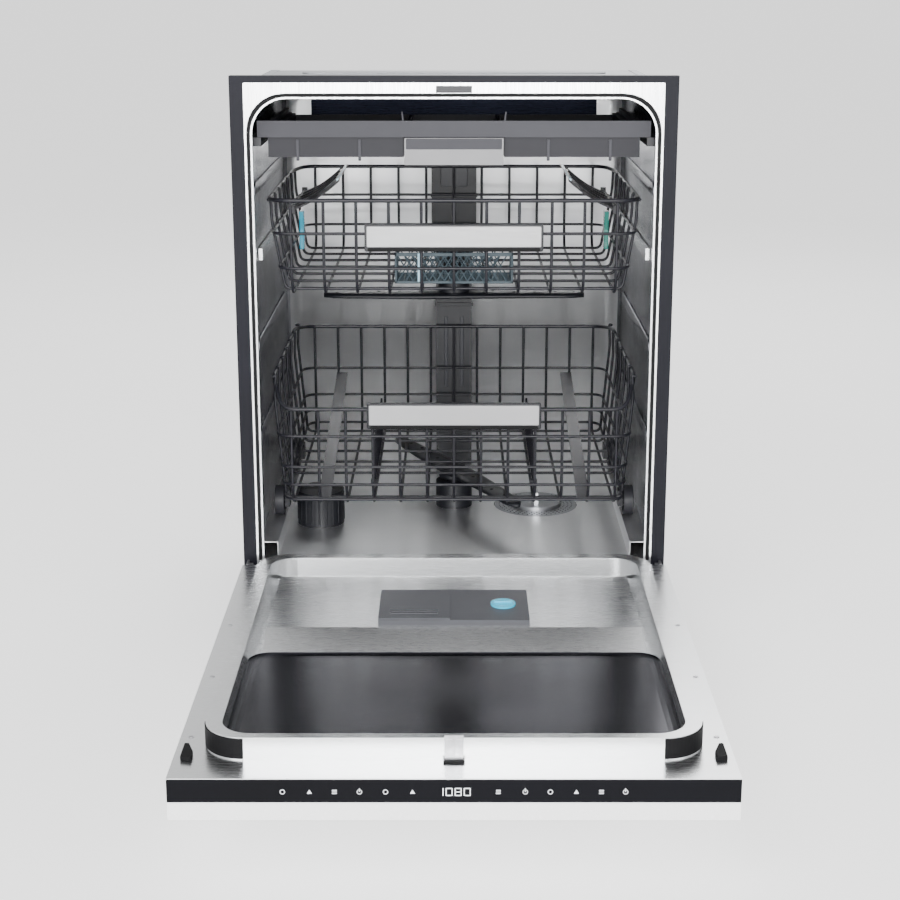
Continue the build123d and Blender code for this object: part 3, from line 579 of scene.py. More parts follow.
def rack_handle(name):
    """A rack handle: a light plate in a thin black surround, with a black strip under it that is painted
    shade below the plate.
    """
    node = f"{name}_handle"
    a, b = ends(node)
    work = bmesh.new()
    add_slab(work, (a.x, b.x, a.z, b.z, 3 * MM, 6), a.y + 1.4 * MM, b.y, "y")
    from_bmesh(f"{name}_handle_surround", work, name, dark_plastic, 1.2 * MM, 4, (node,))
    work = bmesh.new()
    add_slab(work, (a.x + 3 * MM, b.x - 3 * MM, a.z + 6.5 * MM, b.z - 2.8 * MM, 1.6 * MM, 6),
             a.y, a.y + 3 * MM, "y")
    from_bmesh(f"{name}_handle_face", work, name, handle_steel, 0.7 * MM, 4)
    # Black strip under the plate: painted shade.
    work = bmesh.new()
    add_slab(work, (a.x + 4 * MM, b.x - 4 * MM, a.z + 0.6 * MM, a.z + 5.2 * MM, 2 * MM, 6),
             a.y + 0.2 * MM, a.y + 3 * MM, "y")
    from_bmesh(f"{name}_handle_shade_lip", work, name, rubber, 0.8 * MM, 3)


def cup_shelf(side, sign):
    """A folding cup shelf: a thin curved wing with a scalloped edge, moulded ribs and a rim bar."""
    node = f"cup_shelf_{side}"
    a, b = ends(node)
    outer = b.x if sign > 0 else a.x
    inner = a.x if sign > 0 else b.x
    work = bmesh.new()
    span, depth = 14, 26
    upper, lower = [], []
    for i in range(span + 1):
        t = i / span
        upper_row, lower_row = [], []
        for j in range(depth + 1):
            u = j / depth
            scallop = 1 - 0.14 * (1 - math.cos(4 * math.pi * u)) / 2
            reach = t * (0.8 + 0.2 * scallop)
            x = outer + (inner - outer) * reach
            lift = (b.z - a.z - 5 * MM) * (0.55 * t + 0.45 * t ** 2.2)
            y = a.y + (b.y - a.y) * u
            upper_row.append(work.verts.new((x, y, a.z + 4.2 * MM + lift)))
            lower_row.append(work.verts.new((x, y, a.z + 1.2 * MM + lift)))
        upper.append(upper_row)
        lower.append(lower_row)
    for i in range(span):
        for j in range(depth):
            work.faces.new((upper[i][j], upper[i + 1][j], upper[i + 1][j + 1], upper[i][j + 1]))
            work.faces.new((lower[i][j], lower[i][j + 1], lower[i + 1][j + 1], lower[i + 1][j]))
    for i in range(span):
        work.faces.new((upper[i][0], lower[i][0], lower[i + 1][0], upper[i + 1][0]))
        work.faces.new((upper[i][-1], upper[i + 1][-1], lower[i + 1][-1], lower[i][-1]))
    for j in range(depth):
        work.faces.new((upper[0][j], upper[0][j + 1], lower[0][j + 1], lower[0][j]))
        work.faces.new((upper[-1][j], lower[-1][j], lower[-1][j + 1], upper[-1][j + 1]))
    piece = from_bmesh(f"{node}_wing", work, node, shelf_plastic, 0.8 * MM, 3, (node,))
    smooth(piece.data)
    bar = []
    for step in range(17):
        u = step / 16
        bar.append((inner + (outer - inner) * 0.04, a.y + (b.y - a.y) * (0.04 + 0.92 * u), b.z - 2.4 * MM))
    wires(f"{node}_rim_bar", [bar], 2 * MM, node, pale_blue)
    ribs = []
    for share in (0.2, 0.4, 0.6, 0.8):
        y = a.y + (b.y - a.y) * share
        line = []
        for step in range(9):
            t = step / 8
            x = outer + (inner - outer) * t * 0.9
            lift = (b.z - a.z - 5 * MM) * (0.55 * t * 0.97 + 0.45 * (t * 0.97) ** 2.2)
            line.append((x, y, a.z + 4.6 * MM + lift))
        ribs.append(line)
    wires(f"{node}_ribs", ribs, 1.1 * MM, node, shelf_plastic)


def height_lever(side, sign, material):
    """A height lever: a waisted grip with a ridged finger pad."""
    node = f"height_lever_{side}"
    a, b = ends(node)
    y = (a.y + b.y) / 2
    half = (b.y - a.y) / 2
    tall = b.z - a.z
    front, back = [], []
    for step in range(25):
        t = step / 24
        wide = half * (0.62 + 0.38 * abs(math.cos(math.pi * t)) ** 1.4)
        front.append((y - wide, a.z + tall * t))
        back.append((y + wide, a.z + tall * t))
    outline = back + front[::-1]
    work = bmesh.new()
    add_prism(work, outline, a.x + 0.6 * MM, b.x - 0.6 * MM, "x")
    from_bmesh(f"{node}_grip", work, node, material, 1.4 * MM, 4, (node,))
    work = bmesh.new()
    for share in (0.66, 0.74, 0.82):
        z = a.z + tall * share
        near, far = (a.x, a.x + 1.2 * MM) if sign > 0 else (b.x - 1.2 * MM, b.x)
        add_slab(work, (y - half * 0.62, y + half * 0.62, z - 1.1 * MM, z + 1.1 * MM, 1 * MM, 4),
                 near, far, "x")
    from_bmesh(f"{node}_grip_ridges", work, node, material, 0.3 * MM, 2)


def item_basket():
    """The small item basket: a lattice-walled tray with a handle bar and raised rim."""
    node = "small_item_basket"
    a, b = ends(node)
    skin = 2 * MM
    work = bmesh.new()
    for z0, z1 in ((b.z - 5 * MM, b.z), (a.z, a.z + 3.5 * MM)):
        add_box(work, (a.x, a.y, z0), (b.x, a.y + skin, z1))
        add_box(work, (a.x, b.y - skin, z0), (b.x, b.y, z1))
        add_box(work, (a.x, a.y + skin, z0), (a.x + skin, b.y - skin, z1))
        add_box(work, (b.x - skin, a.y + skin, z0), (b.x, b.y - skin, z1))
    for x in (a.x, b.x - 3 * MM):
        for y in (a.y, b.y - 3 * MM):
            add_box(work, (x, y, a.z), (x + 3 * MM, y + 3 * MM, b.z))
    from_bmesh("item_basket_frame", work, "upper_rack", basket_blue, 0.6 * MM, 3, (node,))
    lattice = []
    pitch = 11 * MM
    lean = (b.z - a.z - 6 * MM) * 0.6
    for y in (a.y + 1 * MM, b.y - 1 * MM):
        x = a.x + 4 * MM
        while x < b.x - 4 * MM - lean:
            lattice.append([(x, y, a.z + 3 * MM), (x + lean, y, b.z - 4 * MM)])
            lattice.append([(x + lean, y, a.z + 3 * MM), (x, y, b.z - 4 * MM)])
            x += pitch
    for x in (a.x + 1 * MM, b.x - 1 * MM):
        y = a.y + 4 * MM
        while y < b.y - 4 * MM - lean:
            lattice.append([(x, y, a.z + 3 * MM), (x, y + lean, b.z - 4 * MM)])
            lattice.append([(x, y + lean, a.z + 3 * MM), (x, y, b.z - 4 * MM)])
            y += pitch
    wires("item_basket_lattice", lattice, 0.9 * MM, "upper_rack", basket_blue, sides=2)
    floor = []
    z = a.z + 1.2 * MM
    for x in spread(a.x + 5 * MM, b.x - 5 * MM, 8 * MM):
        floor.append([(x, a.y + 1 * MM, z), (x, b.y - 1 * MM, z)])
    for y in spread(a.y + 6 * MM, b.y - 6 * MM, 8 * MM):
        floor.append([(a.x + 1 * MM, y, z), (b.x - 1 * MM, y, z)])
    wires("item_basket_floor", floor, 1 * MM, "upper_rack", basket_blue, sides=2)
    bar = [(a.x + 34 * MM, a.y - 0.2 * MM, a.z + 3 * MM), (a.x + 34 * MM, a.y - 0.2 * MM, b.z - 0.6 * MM)]
    wires("item_basket_bar", [bar], 1.8 * MM, "upper_rack", pale_blue)


def rack_wheels(node):
    """Six-spoked wheels with a tyre band and a domed hub."""
    a, b = ends(node)
    centre = (a + b) / 2
    radius = (b.z - a.z) / 2
    work = bmesh.new()
    for sign in (-1, 1):
        x0, x1 = sorted((sign * (b.x - 14 * MM), sign * b.x))
        tyre = circle(centre.y, centre.z, radius, 56)
        hole = circle(centre.y, centre.z, radius - 4.5 * MM, 56)
        add_hoop(work, tyre, hole, x0, x1, along_x)
        for spoke in range(6):
            angle = spoke * math.tau / 6
            direction = Vector((0, math.cos(angle), math.sin(angle)))
            across = Vector((0, -math.sin(angle), math.cos(angle))) * 1.7 * MM
            start = Vector((0, centre.y, centre.z)) + direction * 5 * MM
            end = Vector((0, centre.y, centre.z)) + direction * (radius - 4 * MM)
            outline = [(p.y, p.z) for p in (start - across, end - across, end + across, start + across)]
            add_prism(work, outline, x0 + 3 * MM, x1 - 3 * MM, "x")
    from_bmesh(f"{node}_rims", work, node, wheel_plastic, 0.7 * MM, 2, (node,))
    work = bmesh.new()
    for sign in (-1, 1):
        start = b.x - 14 * MM if sign > 0 else -b.x
        add_disc(work, (start, centre.y, centre.z), 7.4 * MM, 14 * MM, "x", 28, 6.4 * MM)
    from_bmesh(f"{node}_hubs", work, node, dark_plastic, 0.9 * MM, 3)


def tines(side):
    """A folding row of tines: round-tipped wires that curve up from a pivot wire."""
    node = f"fold_tines_{side}"
    a, b = ends(node)
    x = (a.x + b.x) / 2
    radius = 1.8 * MM
    z = a.z + radius
    paths = [[(x, a.y, z), (x, b.y, z)]]
    for y in spread(a.y + 14 * MM, b.y - 14 * MM, 26 * MM):
        tine = [(x, y - 7 * MM, z), (x, y, z + 4 * MM), (x, y + 1 * MM, b.z - 6 * MM), (x, y + 6 * MM, b.z)]
        paths.append(bent(tine, 10 * MM))
    wires(f"{node}_wires", paths, radius, node, wire_coat, (node,))


# Spray arms

def spray_arm(name, node, turn, radius, hub_drop):
    """A moulded spray arm: a crowned blade, a domed hub and a row of nozzles."""
    a, b = ends(node)
    centre = (a + b) / 2
    z0 = a.z + hub_drop
    z1 = b.z
    sections = []
    steps = 24
    for step in range(steps + 1):
        t = -1 + 2 * step / steps
        along = t * radius
        half = (23 - 10.5 * abs(t) ** 1.3) * MM
        if abs(t) > 0.94:
            half *= math.sqrt(max(0.0, 1 - ((abs(t) - 0.94) / 0.062) ** 2)) + 0.02
        crown = (z1 - z0) * (1.0 - 0.3 * abs(t))
        bow = 5 * MM * math.sin(math.pi * t) * 0.5
        ring = []
        for side, height in ((-1, 0.25), (-0.94, 0.62), (-0.6, 0.92), (0, 1.0), (0.6, 0.92), (0.94, 0.62),
                             (1, 0.25), (0.82, 0.0), (0, 0.0), (-0.82, 0.0)):
            ring.append((along, bow + side * half, z0 + crown * height))
        sections.append(ring)
    work = bmesh.new()
    spin = Matrix.Rotation(math.radians(turn), 3, "Z")

    def put(point):
        flat = spin @ Vector((point[0], point[1], 0))
        return (centre.x + flat.x, centre.y + flat.y, point[2])

    rings = [[work.verts.new(put(p)) for p in ring] for ring in sections]
    bridge(work, rings)
    work.faces.new(rings[0])
    work.faces.new(rings[-1])
    piece = from_bmesh(f"{name}_blade", work, node, dark_plastic, 0, 3, (node,))
    smooth(piece.data)
    work = bmesh.new()
    add_disc(work, (centre.x, centre.y, a.z), 23.5 * MM, z1 - a.z - 0.4 * MM, steps=40, top_radius=19 * MM)
    from_bmesh(f"{name}_hub", work, node, dark_plastic, 1.5 * MM, 4)
    work = bmesh.new()
    for share in (-0.9, -0.74, -0.58, -0.42, -0.26, 0.3, 0.46, 0.62, 0.78, 0.92):
        spot = put((share * radius, 3 * MM * math.sin(9 * share), z0 + (z1 - z0) * (0.93 - 0.3 * abs(share))))
        add_disc(work, spot, 3.2 * MM, 1.1 * MM, steps=16, top_radius=2 * MM)
    from_bmesh(f"{name}_nozzles", work, node, rubber, 0.3 * MM, 2)


# Door

def door_well_reflection_sheet():
    """The near-black floor of the door's well, dished along its edges: a sheet that is painted dark
    reflection on the door's steel.
    """
    x = 250 * MM
    front = low("door_liner").y
    start, end = front + 62 * MM, front + 338 * MM
    floor = high("door_tray").z + 1.1 * MM
    work = bmesh.new()
    rings = []
    for inset, lift in ((0, 2.4), (3, 1.1), (8, 0.5), (14, 0.3)):
        rim = inset * MM
        outline = rounded_outline(-x + rim, x - rim, start + rim, end - rim, 26 * MM - rim, 8)
        rings.append([work.verts.new((p, q, floor + lift * MM)) for p, q in outline])
    bridge(work, rings)
    work.faces.new(rings[-1])
    piece = from_bmesh("door_well_reflection_sheet", work, "door", well_reflection_steel)
    thick = piece.modifiers.new("thickness", "SOLIDIFY")
    thick.thickness = 0.25 * MM


def door_seal_corners():
    """Black blocks and wraps at the corners of the raised front wall, and the catch's plates and foot."""
    a, b = ends("corner_guards")
    work = bmesh.new()
    for sign in (-1, 1):
        outline = [(sign * (b.x - 12 * MM), a.y), (sign * b.x, a.y + 3 * MM), (sign * b.x, b.y),
                   (sign * (b.x - 5 * MM), b.y), (sign * (b.x - 12 * MM), a.y + 16 * MM)]
        if sign < 0:
            outline = outline[::-1]
        add_prism(work, outline, a.z, b.z)
    from_bmesh("seal_corner_blocks", work, "door", rubber, 0.9 * MM, 3, ("corner_guards",))
    corner_x = 223 * MM
    corner_y = low("door_liner").y + 88 * MM
    top = high("door_liner").z
    work = bmesh.new()
    for sign in (-1, 1):
        outline = []
        for reach, angles in ((46.2, range(0, 91, 6)), (44.8, range(90, -1, -6))):
            for angle in angles:
                turn = math.radians(angle)
                outline.append((sign * (corner_x + reach * math.cos(turn) * MM),
                                corner_y - reach * math.sin(turn) * MM))
        add_prism(work, outline, top - 24 * MM, top - 1.5 * MM)
    from_bmesh("liner_corner_wraps", work, "door", rubber)
    a, b = ends("latch_catch")
    work = bmesh.new()
    for x in (a.x + 0.4 * MM, 0.9 * MM):
        add_slab(work, (x, x + (b.x - a.x) / 2 - 1.3 * MM, a.z + 5 * MM, b.z - 4 * MM, 1.4 * MM, 4),
                 a.y - 0.7 * MM, a.y + 0.4 * MM, "y")
    from_bmesh("latch_catch_plates", work, "door", zinc, 0.3 * MM, 2)
    work = bmesh.new()
    add_slab(work, (a.x - 1.5 * MM, b.x + 1.5 * MM, a.y - 6 * MM, a.y - 0.9 * MM, 1.6 * MM, 4),
             a.z, a.z + 2.2 * MM)
    from_bmesh("latch_catch_foot", work, "door", rubber, 0.5 * MM, 3)


def icon_ring(work, x, z, radius, wide, y0, y1):
    add_hoop(work, circle(x, z, radius, 24), circle(x, z, radius - wide, 24), y0, y1, along_y)


def key_mark(work, kind, x, z, y0, y1):
    """One of four plain marks: a ring, a triangle, three bars, or a ring with a stroke."""
    if kind == 0:
        icon_ring(work, x, z, 2.7 * MM, 0.7 * MM, y0, y1)
    elif kind == 1:
        corners = [(x - 2.6 * MM, z - 2 * MM), (x + 2.6 * MM, z - 2 * MM), (x, z + 2.5 * MM)]
        add_prism(work, corners, y0, y1, "y")
    elif kind == 2:
        for lift in (-1.8, 0, 1.8):
            bar = rectangle(x - 2.5 * MM, x + 2.5 * MM, z + (lift - 0.4) * MM, z + (lift + 0.4) * MM)
            add_prism(work, bar, y0, y1, "y")
    else:
        icon_ring(work, x, z, 2.7 * MM, 0.6 * MM, y0, y1)
        add_prism(work, rectangle(x - 0.4 * MM, x + 0.4 * MM, z, z + 4 * MM), y0, y1, "y")


def digit_bars(digit, x, z):
    """The lit bars of a seven-segment digit, as outlines."""
    lit = {"0": "abcdef", "1": "bc", "8": "abcdefg"}[digit]
    wide, tall, bar = 5.2 * MM, 9 * MM, 1.0 * MM
    gap = 0.2 * bar
    top, base = z + tall / 2, z - tall / 2
    left, right = (x - bar, x), (x + wide, x + wide + bar)
    upper, lower = (z + gap, top - gap), (base + gap, z - gap)
    spots = {"a": (x, x + wide, top - bar, top), "d": (x, x + wide, base, base + bar),
             "g": (x, x + wide, z - bar / 2, z + bar / 2), "f": (*left, *upper), "b": (*right, *upper),
             "e": (*left, *lower), "c": (*right, *lower)}
    return [rectangle(*spots[segment]) for segment in lit]


def control_icons():
    """Plain touch-key marks and a digit display, inlaid in the control strip."""
    a, b = ends("control_panel")
    z = (a.z + b.z) / 2 - 1 * MM
    y0, y1 = a.y - 0.12 * MM, a.y + 0.3 * MM
    key_places = (-178, -150, -124, -98, -71, -43, 46, 74, 100, 127, 153, 178)
    work = bmesh.new()
    for index, place in enumerate(key_places):
        key_mark(work, index % 4, place * MM, z, y0, y1)
    from_bmesh("key_marks", work, "door", print_white)
    work = bmesh.new()
    for index, digit in enumerate("1080"):
        for outline in digit_bars(digit, (-17 + index * 9.4) * MM, z):
            add_prism(work, outline, y0, y1, "y")
    from_bmesh("display_digits", work, "door", display_glow)


def door_edge_seams():
    """The light seam strip between the control strip and the furniture panel, and the liner's screws."""
    a, b = ends("furniture_panel")
    work = bmesh.new()
    add_box(work, (a.x + 1 * MM, a.y - 0.2 * MM, b.z - 1.6 * MM),
            (b.x - 1 * MM, a.y + 2 * MM, b.z - 0.2 * MM))
    from_bmesh("panel_seam_strip", work, "door", pale_strip, 0.3 * MM, 2)
    work = bmesh.new()
    for sign in (-1, 1):
        for share in (0.15, 0.4, 0.65, 0.9):
            y = a.y + (b.y - a.y) * share
            spot = (sign * (b.x - 12 * MM), y, high("door_tray").z + 0.9 * MM)
            add_disc(work, spot, 3.4 * MM, 1 * MM, steps=20, top_radius=2.4 * MM)
    from_bmesh("liner_screws", work, "door", zinc, 0.2 * MM, 2)


def dispenser_details():
    """Moulded ridges on the detergent lid, and a grip on the rinse aid cap."""
    a, b = ends("dispenser_lid")
    work = bmesh.new()
    for share in (0.16, 0.24, 0.32):
        y = a.y + (b.y - a.y) * share
        add_slab(work, (a.x + 14 * MM, b.x - 14 * MM, y - 1.3 * MM, y + 1.3 * MM, 1.2 * MM, 4),
                 b.z - 0.3 * MM, b.z + 1.3 * MM)
    from_bmesh("dispenser_lid_ridges", work, "dispenser_lid", dispenser_grey,
               0.4 * MM, 3)
    a, b = ends("rinse_aid_cap")
    x, y = ((a + b) / 2).xy
    work = bmesh.new()
    add_slab(work, (x - 12 * MM, x + 12 * MM, y - 2.4 * MM, y + 2.4 * MM, 2.3 * MM), b.z - 0.3 * MM,
             b.z + 3 * MM)
    from_bmesh("rinse_aid_cap_grip", work, "rinse_aid_cap", cyan, 0.8 * MM, 3)


# Column, sump and cutlery tray

def duct_details():
    """Clips, raised channels and a moulded outlet on the feed duct."""
    a = low("feed_duct")
    clips = ((250, 31.5), (420, 31.5), (600, 38), (672, 38))
    work = bmesh.new()
    for height, half in clips:
        add_slab(work, (-half * MM, half * MM, (height - 3) * MM, (height + 3) * MM, 1.6 * MM, 4),
                 a.y - 2 * MM, a.y + 4 * MM, "y")
    from_bmesh("feed_duct_clips", work, "cabinet", dark_plastic, 0.7 * MM, 3)
    work = bmesh.new()
    for x in (-13, 13):
        add_slab(work, ((x - 3) * MM, (x + 3) * MM, 280 * MM, 400 * MM, 2.6 * MM),
                 a.y - 1.5 * MM, a.y + 1 * MM, "y")
    add_slab(work, (-22 * MM, 22 * MM, 615 * MM, 660 * MM, 5 * MM), a.y - 2 * MM, a.y + 1 * MM, "y")
    from_bmesh("feed_duct_channels", work, "cabinet", duct_plastic, 0.8 * MM, 3)


def salt_cap_details():
    """Grip ridges round the salt cap and a low bar across it, clear of the lower arm."""
    a, b = ends("salt_cap")
    middle_x, middle_y = ((a + b) / 2).xy
    work = bmesh.new()
    for x, y in circle(middle_x, middle_y, 33.8 * MM, 20):
        add_disc(work, (x, y, a.z + 4 * MM), 2 * MM, b.z - a.z - 8 * MM, steps=12)
    from_bmesh("salt_cap_grips", work, "salt_cap", dark_plastic, 0.4 * MM, 2)
    work = bmesh.new()
    add_slab(work, (middle_x - 24 * MM, middle_x + 24 * MM, middle_y - 4 * MM, middle_y + 4 * MM, 3.9 * MM),
             b.z - 1 * MM, b.z + 0.9 * MM)
    from_bmesh("salt_cap_bar", work, "salt_cap", shelf_plastic, 0.5 * MM, 3)


def filter_details():
    """The micro filter's upright wires, and black discs for the rings of holes in the filter plate: painted
    shade inside the holes.
    """
    centre = middle("micro_filter")
    foot = low("micro_filter").z + 2 * MM
    mesh_wires = []
    for x, y in circle(centre.x, centre.y, 39.6 * MM, 30):
        mesh_wires.append([(x, y, foot), (x, y, high("filter_plate").z)])
    wires("micro_filter_mesh", mesh_wires, 0.5 * MM, "micro_filter", mesh_steel, sides=1)
    # Black discs: painted shade inside the holes.
    centre = middle("filter_plate")
    work = bmesh.new()
    for ring in range(3):
        for x, y in circle(centre.x, centre.y, (45 + 6 * ring) * MM, 36 + 6 * ring):
            add_disc(work, (x, y, high("filter_plate").z - 0.2 * MM), 1.1 * MM, 0.5 * MM, steps=8)
    from_bmesh("filter_plate_hole_shades", work, "cabinet", rubber)


def tray_details():
    """Divider posts, fins and clips of the cutlery tray, and a grip band."""
    a, b = ends("tray_frame")
    work = bmesh.new()
    for sign in (-1, 1):
        x = sign * 68 * MM
        tip = x + 2.2 * MM * sign
        outline = [(x - 1.3 * MM, b.z - 6 * MM), (x + 1.3 * MM, b.z - 6 * MM), (tip + 1 * MM, b.z + 12 * MM),
                   (tip - 1 * MM, b.z + 12 * MM)]
        add_prism(work, outline, a.y + 1 * MM, a.y + 3.4 * MM, "y")
    from_bmesh("tray_divider_posts", work, "cutlery_tray", tray_plastic, 0.4 * MM, 2)
    a, b = ends("cutlery_tray_sides")
    fins = []
    for sign in (-1, 1):
        for y in spread(a.y + 24 * MM, b.y - 24 * MM, 17 * MM):
            for x in spread(90 * MM, 238 * MM, 37 * MM):
                fins.append(bent([(sign * (x - 9 * MM), y, a.z + 2 * MM), (sign * x, y, a.z + 15 * MM),
                                  (sign * (x + 9 * MM), y, a.z + 2 * MM)], 6 * MM, 4))
    wires("tray_fins", fins, 1.1 * MM, "cutlery_tray", tray_plastic, sides=1)
    work = bmesh.new()
    for x in (-128, 128, -212, 212):
        add_slab(work, ((x - 2) * MM, (x + 2) * MM, a.z - 5 * MM, a.z + 24 * MM, 1.4 * MM, 4),
                 a.y - 1.6 * MM, a.y + 1.6 * MM, "y")
    from_bmesh("tray_side_clips", work, "cutlery_tray", tray_plastic, 0.5 * MM, 3)
    a, b = ends("tray_handle")
    work = bmesh.new()
    add_slab(work, (a.x + 2 * MM, b.x - 2 * MM, b.z - 15 * MM, b.z - 0.6 * MM, 1.2 * MM, 4),
             a.y - 0.4 * MM, a.y + 1 * MM, "y")
    from_bmesh("tray_grip_band", work, "cutlery_tray", tray_plastic, 0.4 * MM, 2)


# Cabinet outside: heights and places in millimetres

SIDE_PANELS = ((160, 420), (480, 740))
BACK_PANELS = ((160, 400), (460, 740))
PANEL_HALF = 240 * MM
SIDE_SCREWS = (120, 300, 450, 600, 780)
BACK_SCREW_COLUMNS = (-270, -90, 90, 270)
BACK_SCREW_ROWS = (125, 430, 790)


def casing_details():
    """Stamped panels and screw heads on the outer casing."""
    a, b = ends("casing_panels")
    work = bmesh.new()
    for sign in (-1, 1):
        near, far = sorted((sign * (HALF - 0.4 * MM), sign * (HALF + 2.4 * MM)))
        for foot, head in SIDE_PANELS:
            add_slab(work, (a.y + 70 * MM, b.y - 60 * MM, foot * MM, head * MM, 22 * MM), near, far, "x")
    from_bmesh("side_embossing", work, "cabinet", galvanised, 1.9 * MM, 4)
    work = bmesh.new()
    for foot, head in BACK_PANELS:
        add_slab(work, (-PANEL_HALF, PANEL_HALF, foot * MM, head * MM, 24 * MM),
                 b.y - 0.4 * MM, b.y + 2.6 * MM, "y")
    from_bmesh("back_embossing", work, "cabinet", galvanised, 2 * MM, 4)
    work = bmesh.new()
    for sign in (-1, 1):
        start = HALF if sign > 0 else -HALF - 1.4 * MM
        for z in SIDE_SCREWS:
            for y in (a.y + 22 * MM, b.y - 20 * MM):
                add_disc(work, (start, y, z * MM), 4 * MM, 1.4 * MM, "x", 20, 3.6 * MM)
    for x in BACK_SCREW_COLUMNS:
        for z in BACK_SCREW_ROWS:
            add_disc(work, (x * MM, b.y, z * MM), 4 * MM, 1.4 * MM, "y", 20)
    from_bmesh("casing_screws", work, "cabinet", zinc, 0.3 * MM, 2)


def roof_details():
    """Cross ribs stamped into the roof, the folded edges of the sheets and the service cover."""
    a, b = ends("casing_panels")
    work = bmesh.new()
    for share in (0.22, 0.42, 0.62, 0.82):
        y = a.y + (b.y - a.y) * share
        add_slab(work, (-PANEL_HALF, PANEL_HALF, y - 16 * MM, y + 16 * MM, 15 * MM),
                 b.z - 0.4 * MM, b.z + 2.6 * MM)
    from_bmesh("roof_ribs", work, "cabinet", galvanised, 2 * MM, 4)
    work = bmesh.new()
    for sign in (-1, 1):
        near, far = sorted((sign * (HALF - 14 * MM), sign * (HALF + 0.3 * MM)))
        add_box(work, (near, a.y + 2 * MM, b.z - 0.2 * MM), (far, b.y, b.z + 0.9 * MM))
        near, far = sorted((sign * (HALF - 12 * MM), sign * (HALF + 0.3 * MM)))
        add_box(work, (near, b.y - 0.3 * MM, a.z + 2 * MM), (far, b.y + 1 * MM, b.z))
    from_bmesh("sheet_folds", work, "cabinet", galvanised, 0.4 * MM, 2)
    work = bmesh.new()
    add_slab(work, (-70 * MM, 70 * MM, b.z - 190 * MM, b.z - 90 * MM, 8 * MM),
             b.y + 2 * MM, b.y + 5 * MM, "y")
    from_bmesh("service_cover", work, "cabinet", zinc, 1 * MM, 3)


def hose_fittings():
    """Thread turns on the water inlet and ridges on the drain spigot."""
    a, b = ends("service_connections")
    z = (a.z + b.z) / 2 - 1 * MM
    line = []
    for step in range(5 * 24 + 1):
        angle = step * math.tau / 24
        line.append((a.x + 13.2 * MM + 13 * MM * math.cos(angle), b.y - 13 * MM + 11 * MM * step / 120,
                     z + 13 * MM * math.sin(angle)))
    wires("inlet_thread", [line], 0.8 * MM, "cabinet", base_plastic, sides=1)
    rings = []
    for share in (0.3, 0.55, 0.8):
        y = b.y - 28 * MM * (1 - share)
        rings.append(([(p, y, q) for p, q in circle(b.x - 10 * MM, z, 9.8 * MM, 28)], True))
    wires("drain_ridges", rings, 0.9 * MM, "cabinet", base_plastic, sides=1)


def kick_plate_vent_shades():
    """A row of upright vent slots in the kick plate, drawn as black slabs: painted shade inside the slots."""
    a = low("kick_plate")
    work = bmesh.new()
    for x in spread(-200 * MM, 200 * MM, 14 * MM):
        add_slab(work, (x - 3.4 * MM, x + 3.4 * MM, a.z + 26 * MM, a.z + 56 * MM, 3.2 * MM),
                 a.y - 0.6 * MM, a.y + 0.3 * MM, "y")
    # Black slabs: painted shade inside the slots.
    from_bmesh("kick_plate_vent_shades", work, "cabinet", rubber, 0.2 * MM, 2)


def foot_threads():
    """Threaded stems, drawn as a fine helix on each levelling foot."""
    a, b = ends("levelling_feet")
    turns = []
    for x in (a.x + 18 * MM, b.x - 18 * MM):
        for y in (a.y + 18 * MM, b.y - 18 * MM):
            line = []
            for step in range(6 * 16 + 1):
                angle = step * math.tau / 16
                line.append((x + 5.2 * MM * math.cos(angle), y + 5.2 * MM * math.sin(angle),
                             a.z + 9.5 * MM + (b.z - a.z - 10.5 * MM) * step / (6 * 16)))
            turns.append(line)
    wires("foot_threads", turns, 0.6 * MM, "cabinet", zinc, sides=1)


def gasket_lip():
    """The soft lip of the door gasket, a round bead following the opening."""
    a, b = ends("door_gasket")
    radius = 48 * MM
    x = b.x - 2 * MM
    top = b.z - 2 * MM
    foot = a.z + 4 * MM
    outline = [(-x, foot), *arch_corners(x, top, radius, 12), (x, foot)]
    path = [(p, a.y + 1.6 * MM, q) for p, q in outline]
    wires("gasket_lip", [path], 1.7 * MM, "cabinet", rubber)


# Camera, light and floor

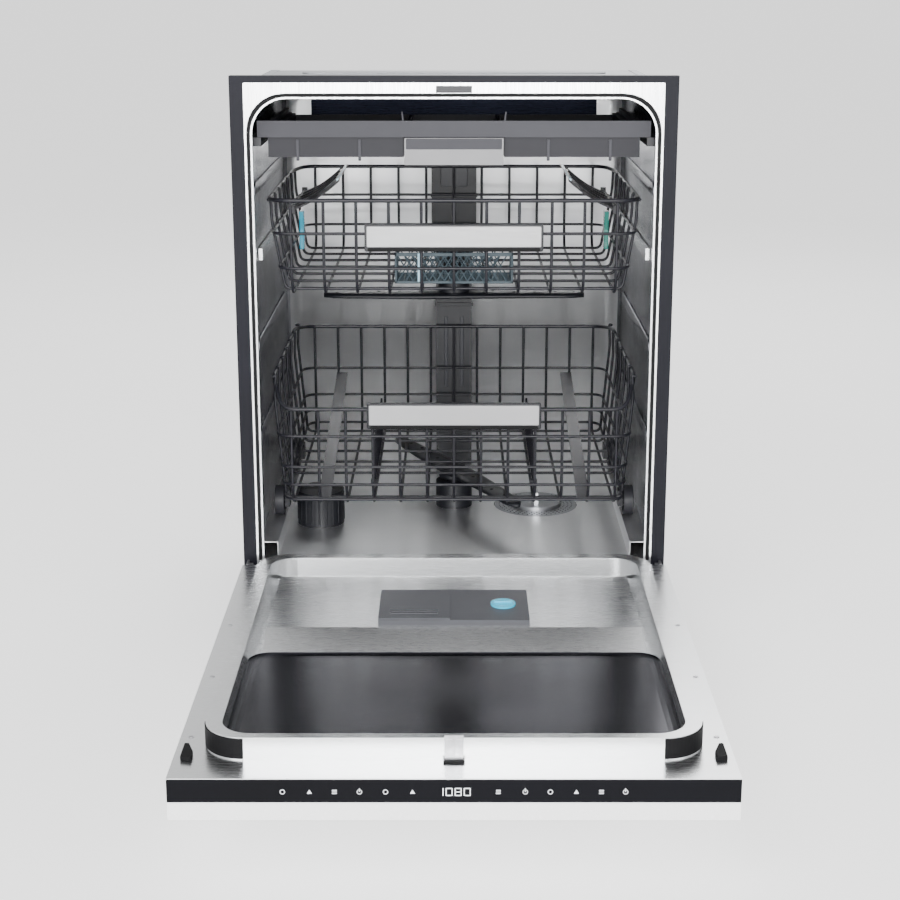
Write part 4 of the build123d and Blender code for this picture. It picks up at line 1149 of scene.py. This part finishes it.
def camera_and_light():
    scene = bpy.context.scene
    data = bpy.data.cameras.new("camera")
    data.lens = CAMERA_LENS
    data.sensor_width = 36
    data.shift_x = CAMERA_SHIFT_X
    data.shift_y = CAMERA_SHIFT_Y
    data.clip_end = VIEW_REACH
    camera = link("camera", data)
    camera.location = (0, FRONT - CAMERA_DISTANCE, high("door_tray").z + CAMERA_RISE)
    camera.rotation_euler = (math.radians(90 - CAMERA_PITCH), 0, 0)
    scene.camera = camera
    world = bpy.data.worlds.new("studio")
    world.use_nodes = True
    world.node_tree.nodes["Background"].inputs["Color"].default_value = (1, 1, 1, 1)
    world.node_tree.nodes["Background"].inputs["Strength"].default_value = 1.0
    scene.world = world
    for name, place, aim, size, power in (
            ("key_light", (-1.6, -3.2, 2.9), (0, 0, 0.45), 2.4, 110),
            ("fill_light", (2.2, -2.6, 2.0), (0, 0, 0.4), 2.4, 35),
            ("front_light", (0, -3.4, 0.95), (0, 0.5, 0.45), 1.6, 130),
            ("back_light", (0.6, 2.8, 2.6), (0, 0, 0.4), 2.2, 45)):
        lamp = bpy.data.lights.new(name, "AREA")
        lamp.shape = "DISK"
        lamp.size = size
        lamp.energy = power
        light = link(name, lamp)
        light.location = place
        light.rotation_euler = (Vector(aim) - Vector(place)).to_track_quat("-Z", "Y").to_euler()
    work = bmesh.new()
    bmesh.ops.create_grid(work, x_segments=2, y_segments=2, size=FLOOR_REACH)
    plane = bpy.data.meshes.new("floor")
    work.to_mesh(plane)
    work.free()
    ground = link("floor", plane)
    ground.data.materials.append(floor_paint)


dress_cad_nodes()
tub_lining()
tub_side_ribs()
tub_ceiling_shade_sheet()
lower_rack()
upper_rack()
rack_handle("lower_rack")
rack_handle("upper_rack")
tines("left")
tines("right")
spray_arm("lower_arm", "lower_spray_arm", -64, 0.214, 8 * MM)
spray_arm("upper_arm", "upper_spray_arm", 0, 0.198, 0)
cup_shelf("left", -1)
cup_shelf("right", 1)
height_lever("left", -1, cyan)
height_lever("right", 1, teal)
item_basket()
rack_wheels("front_wheels")
rack_wheels("rear_wheels")
door_well_reflection_sheet()
door_seal_corners()
control_icons()
door_edge_seams()
dispenser_details()
duct_details()
salt_cap_details()
filter_details()
tray_details()
casing_details()
roof_details()
hose_fittings()
kick_plate_vent_shades()
foot_threads()
gasket_lip()
camera_and_light()
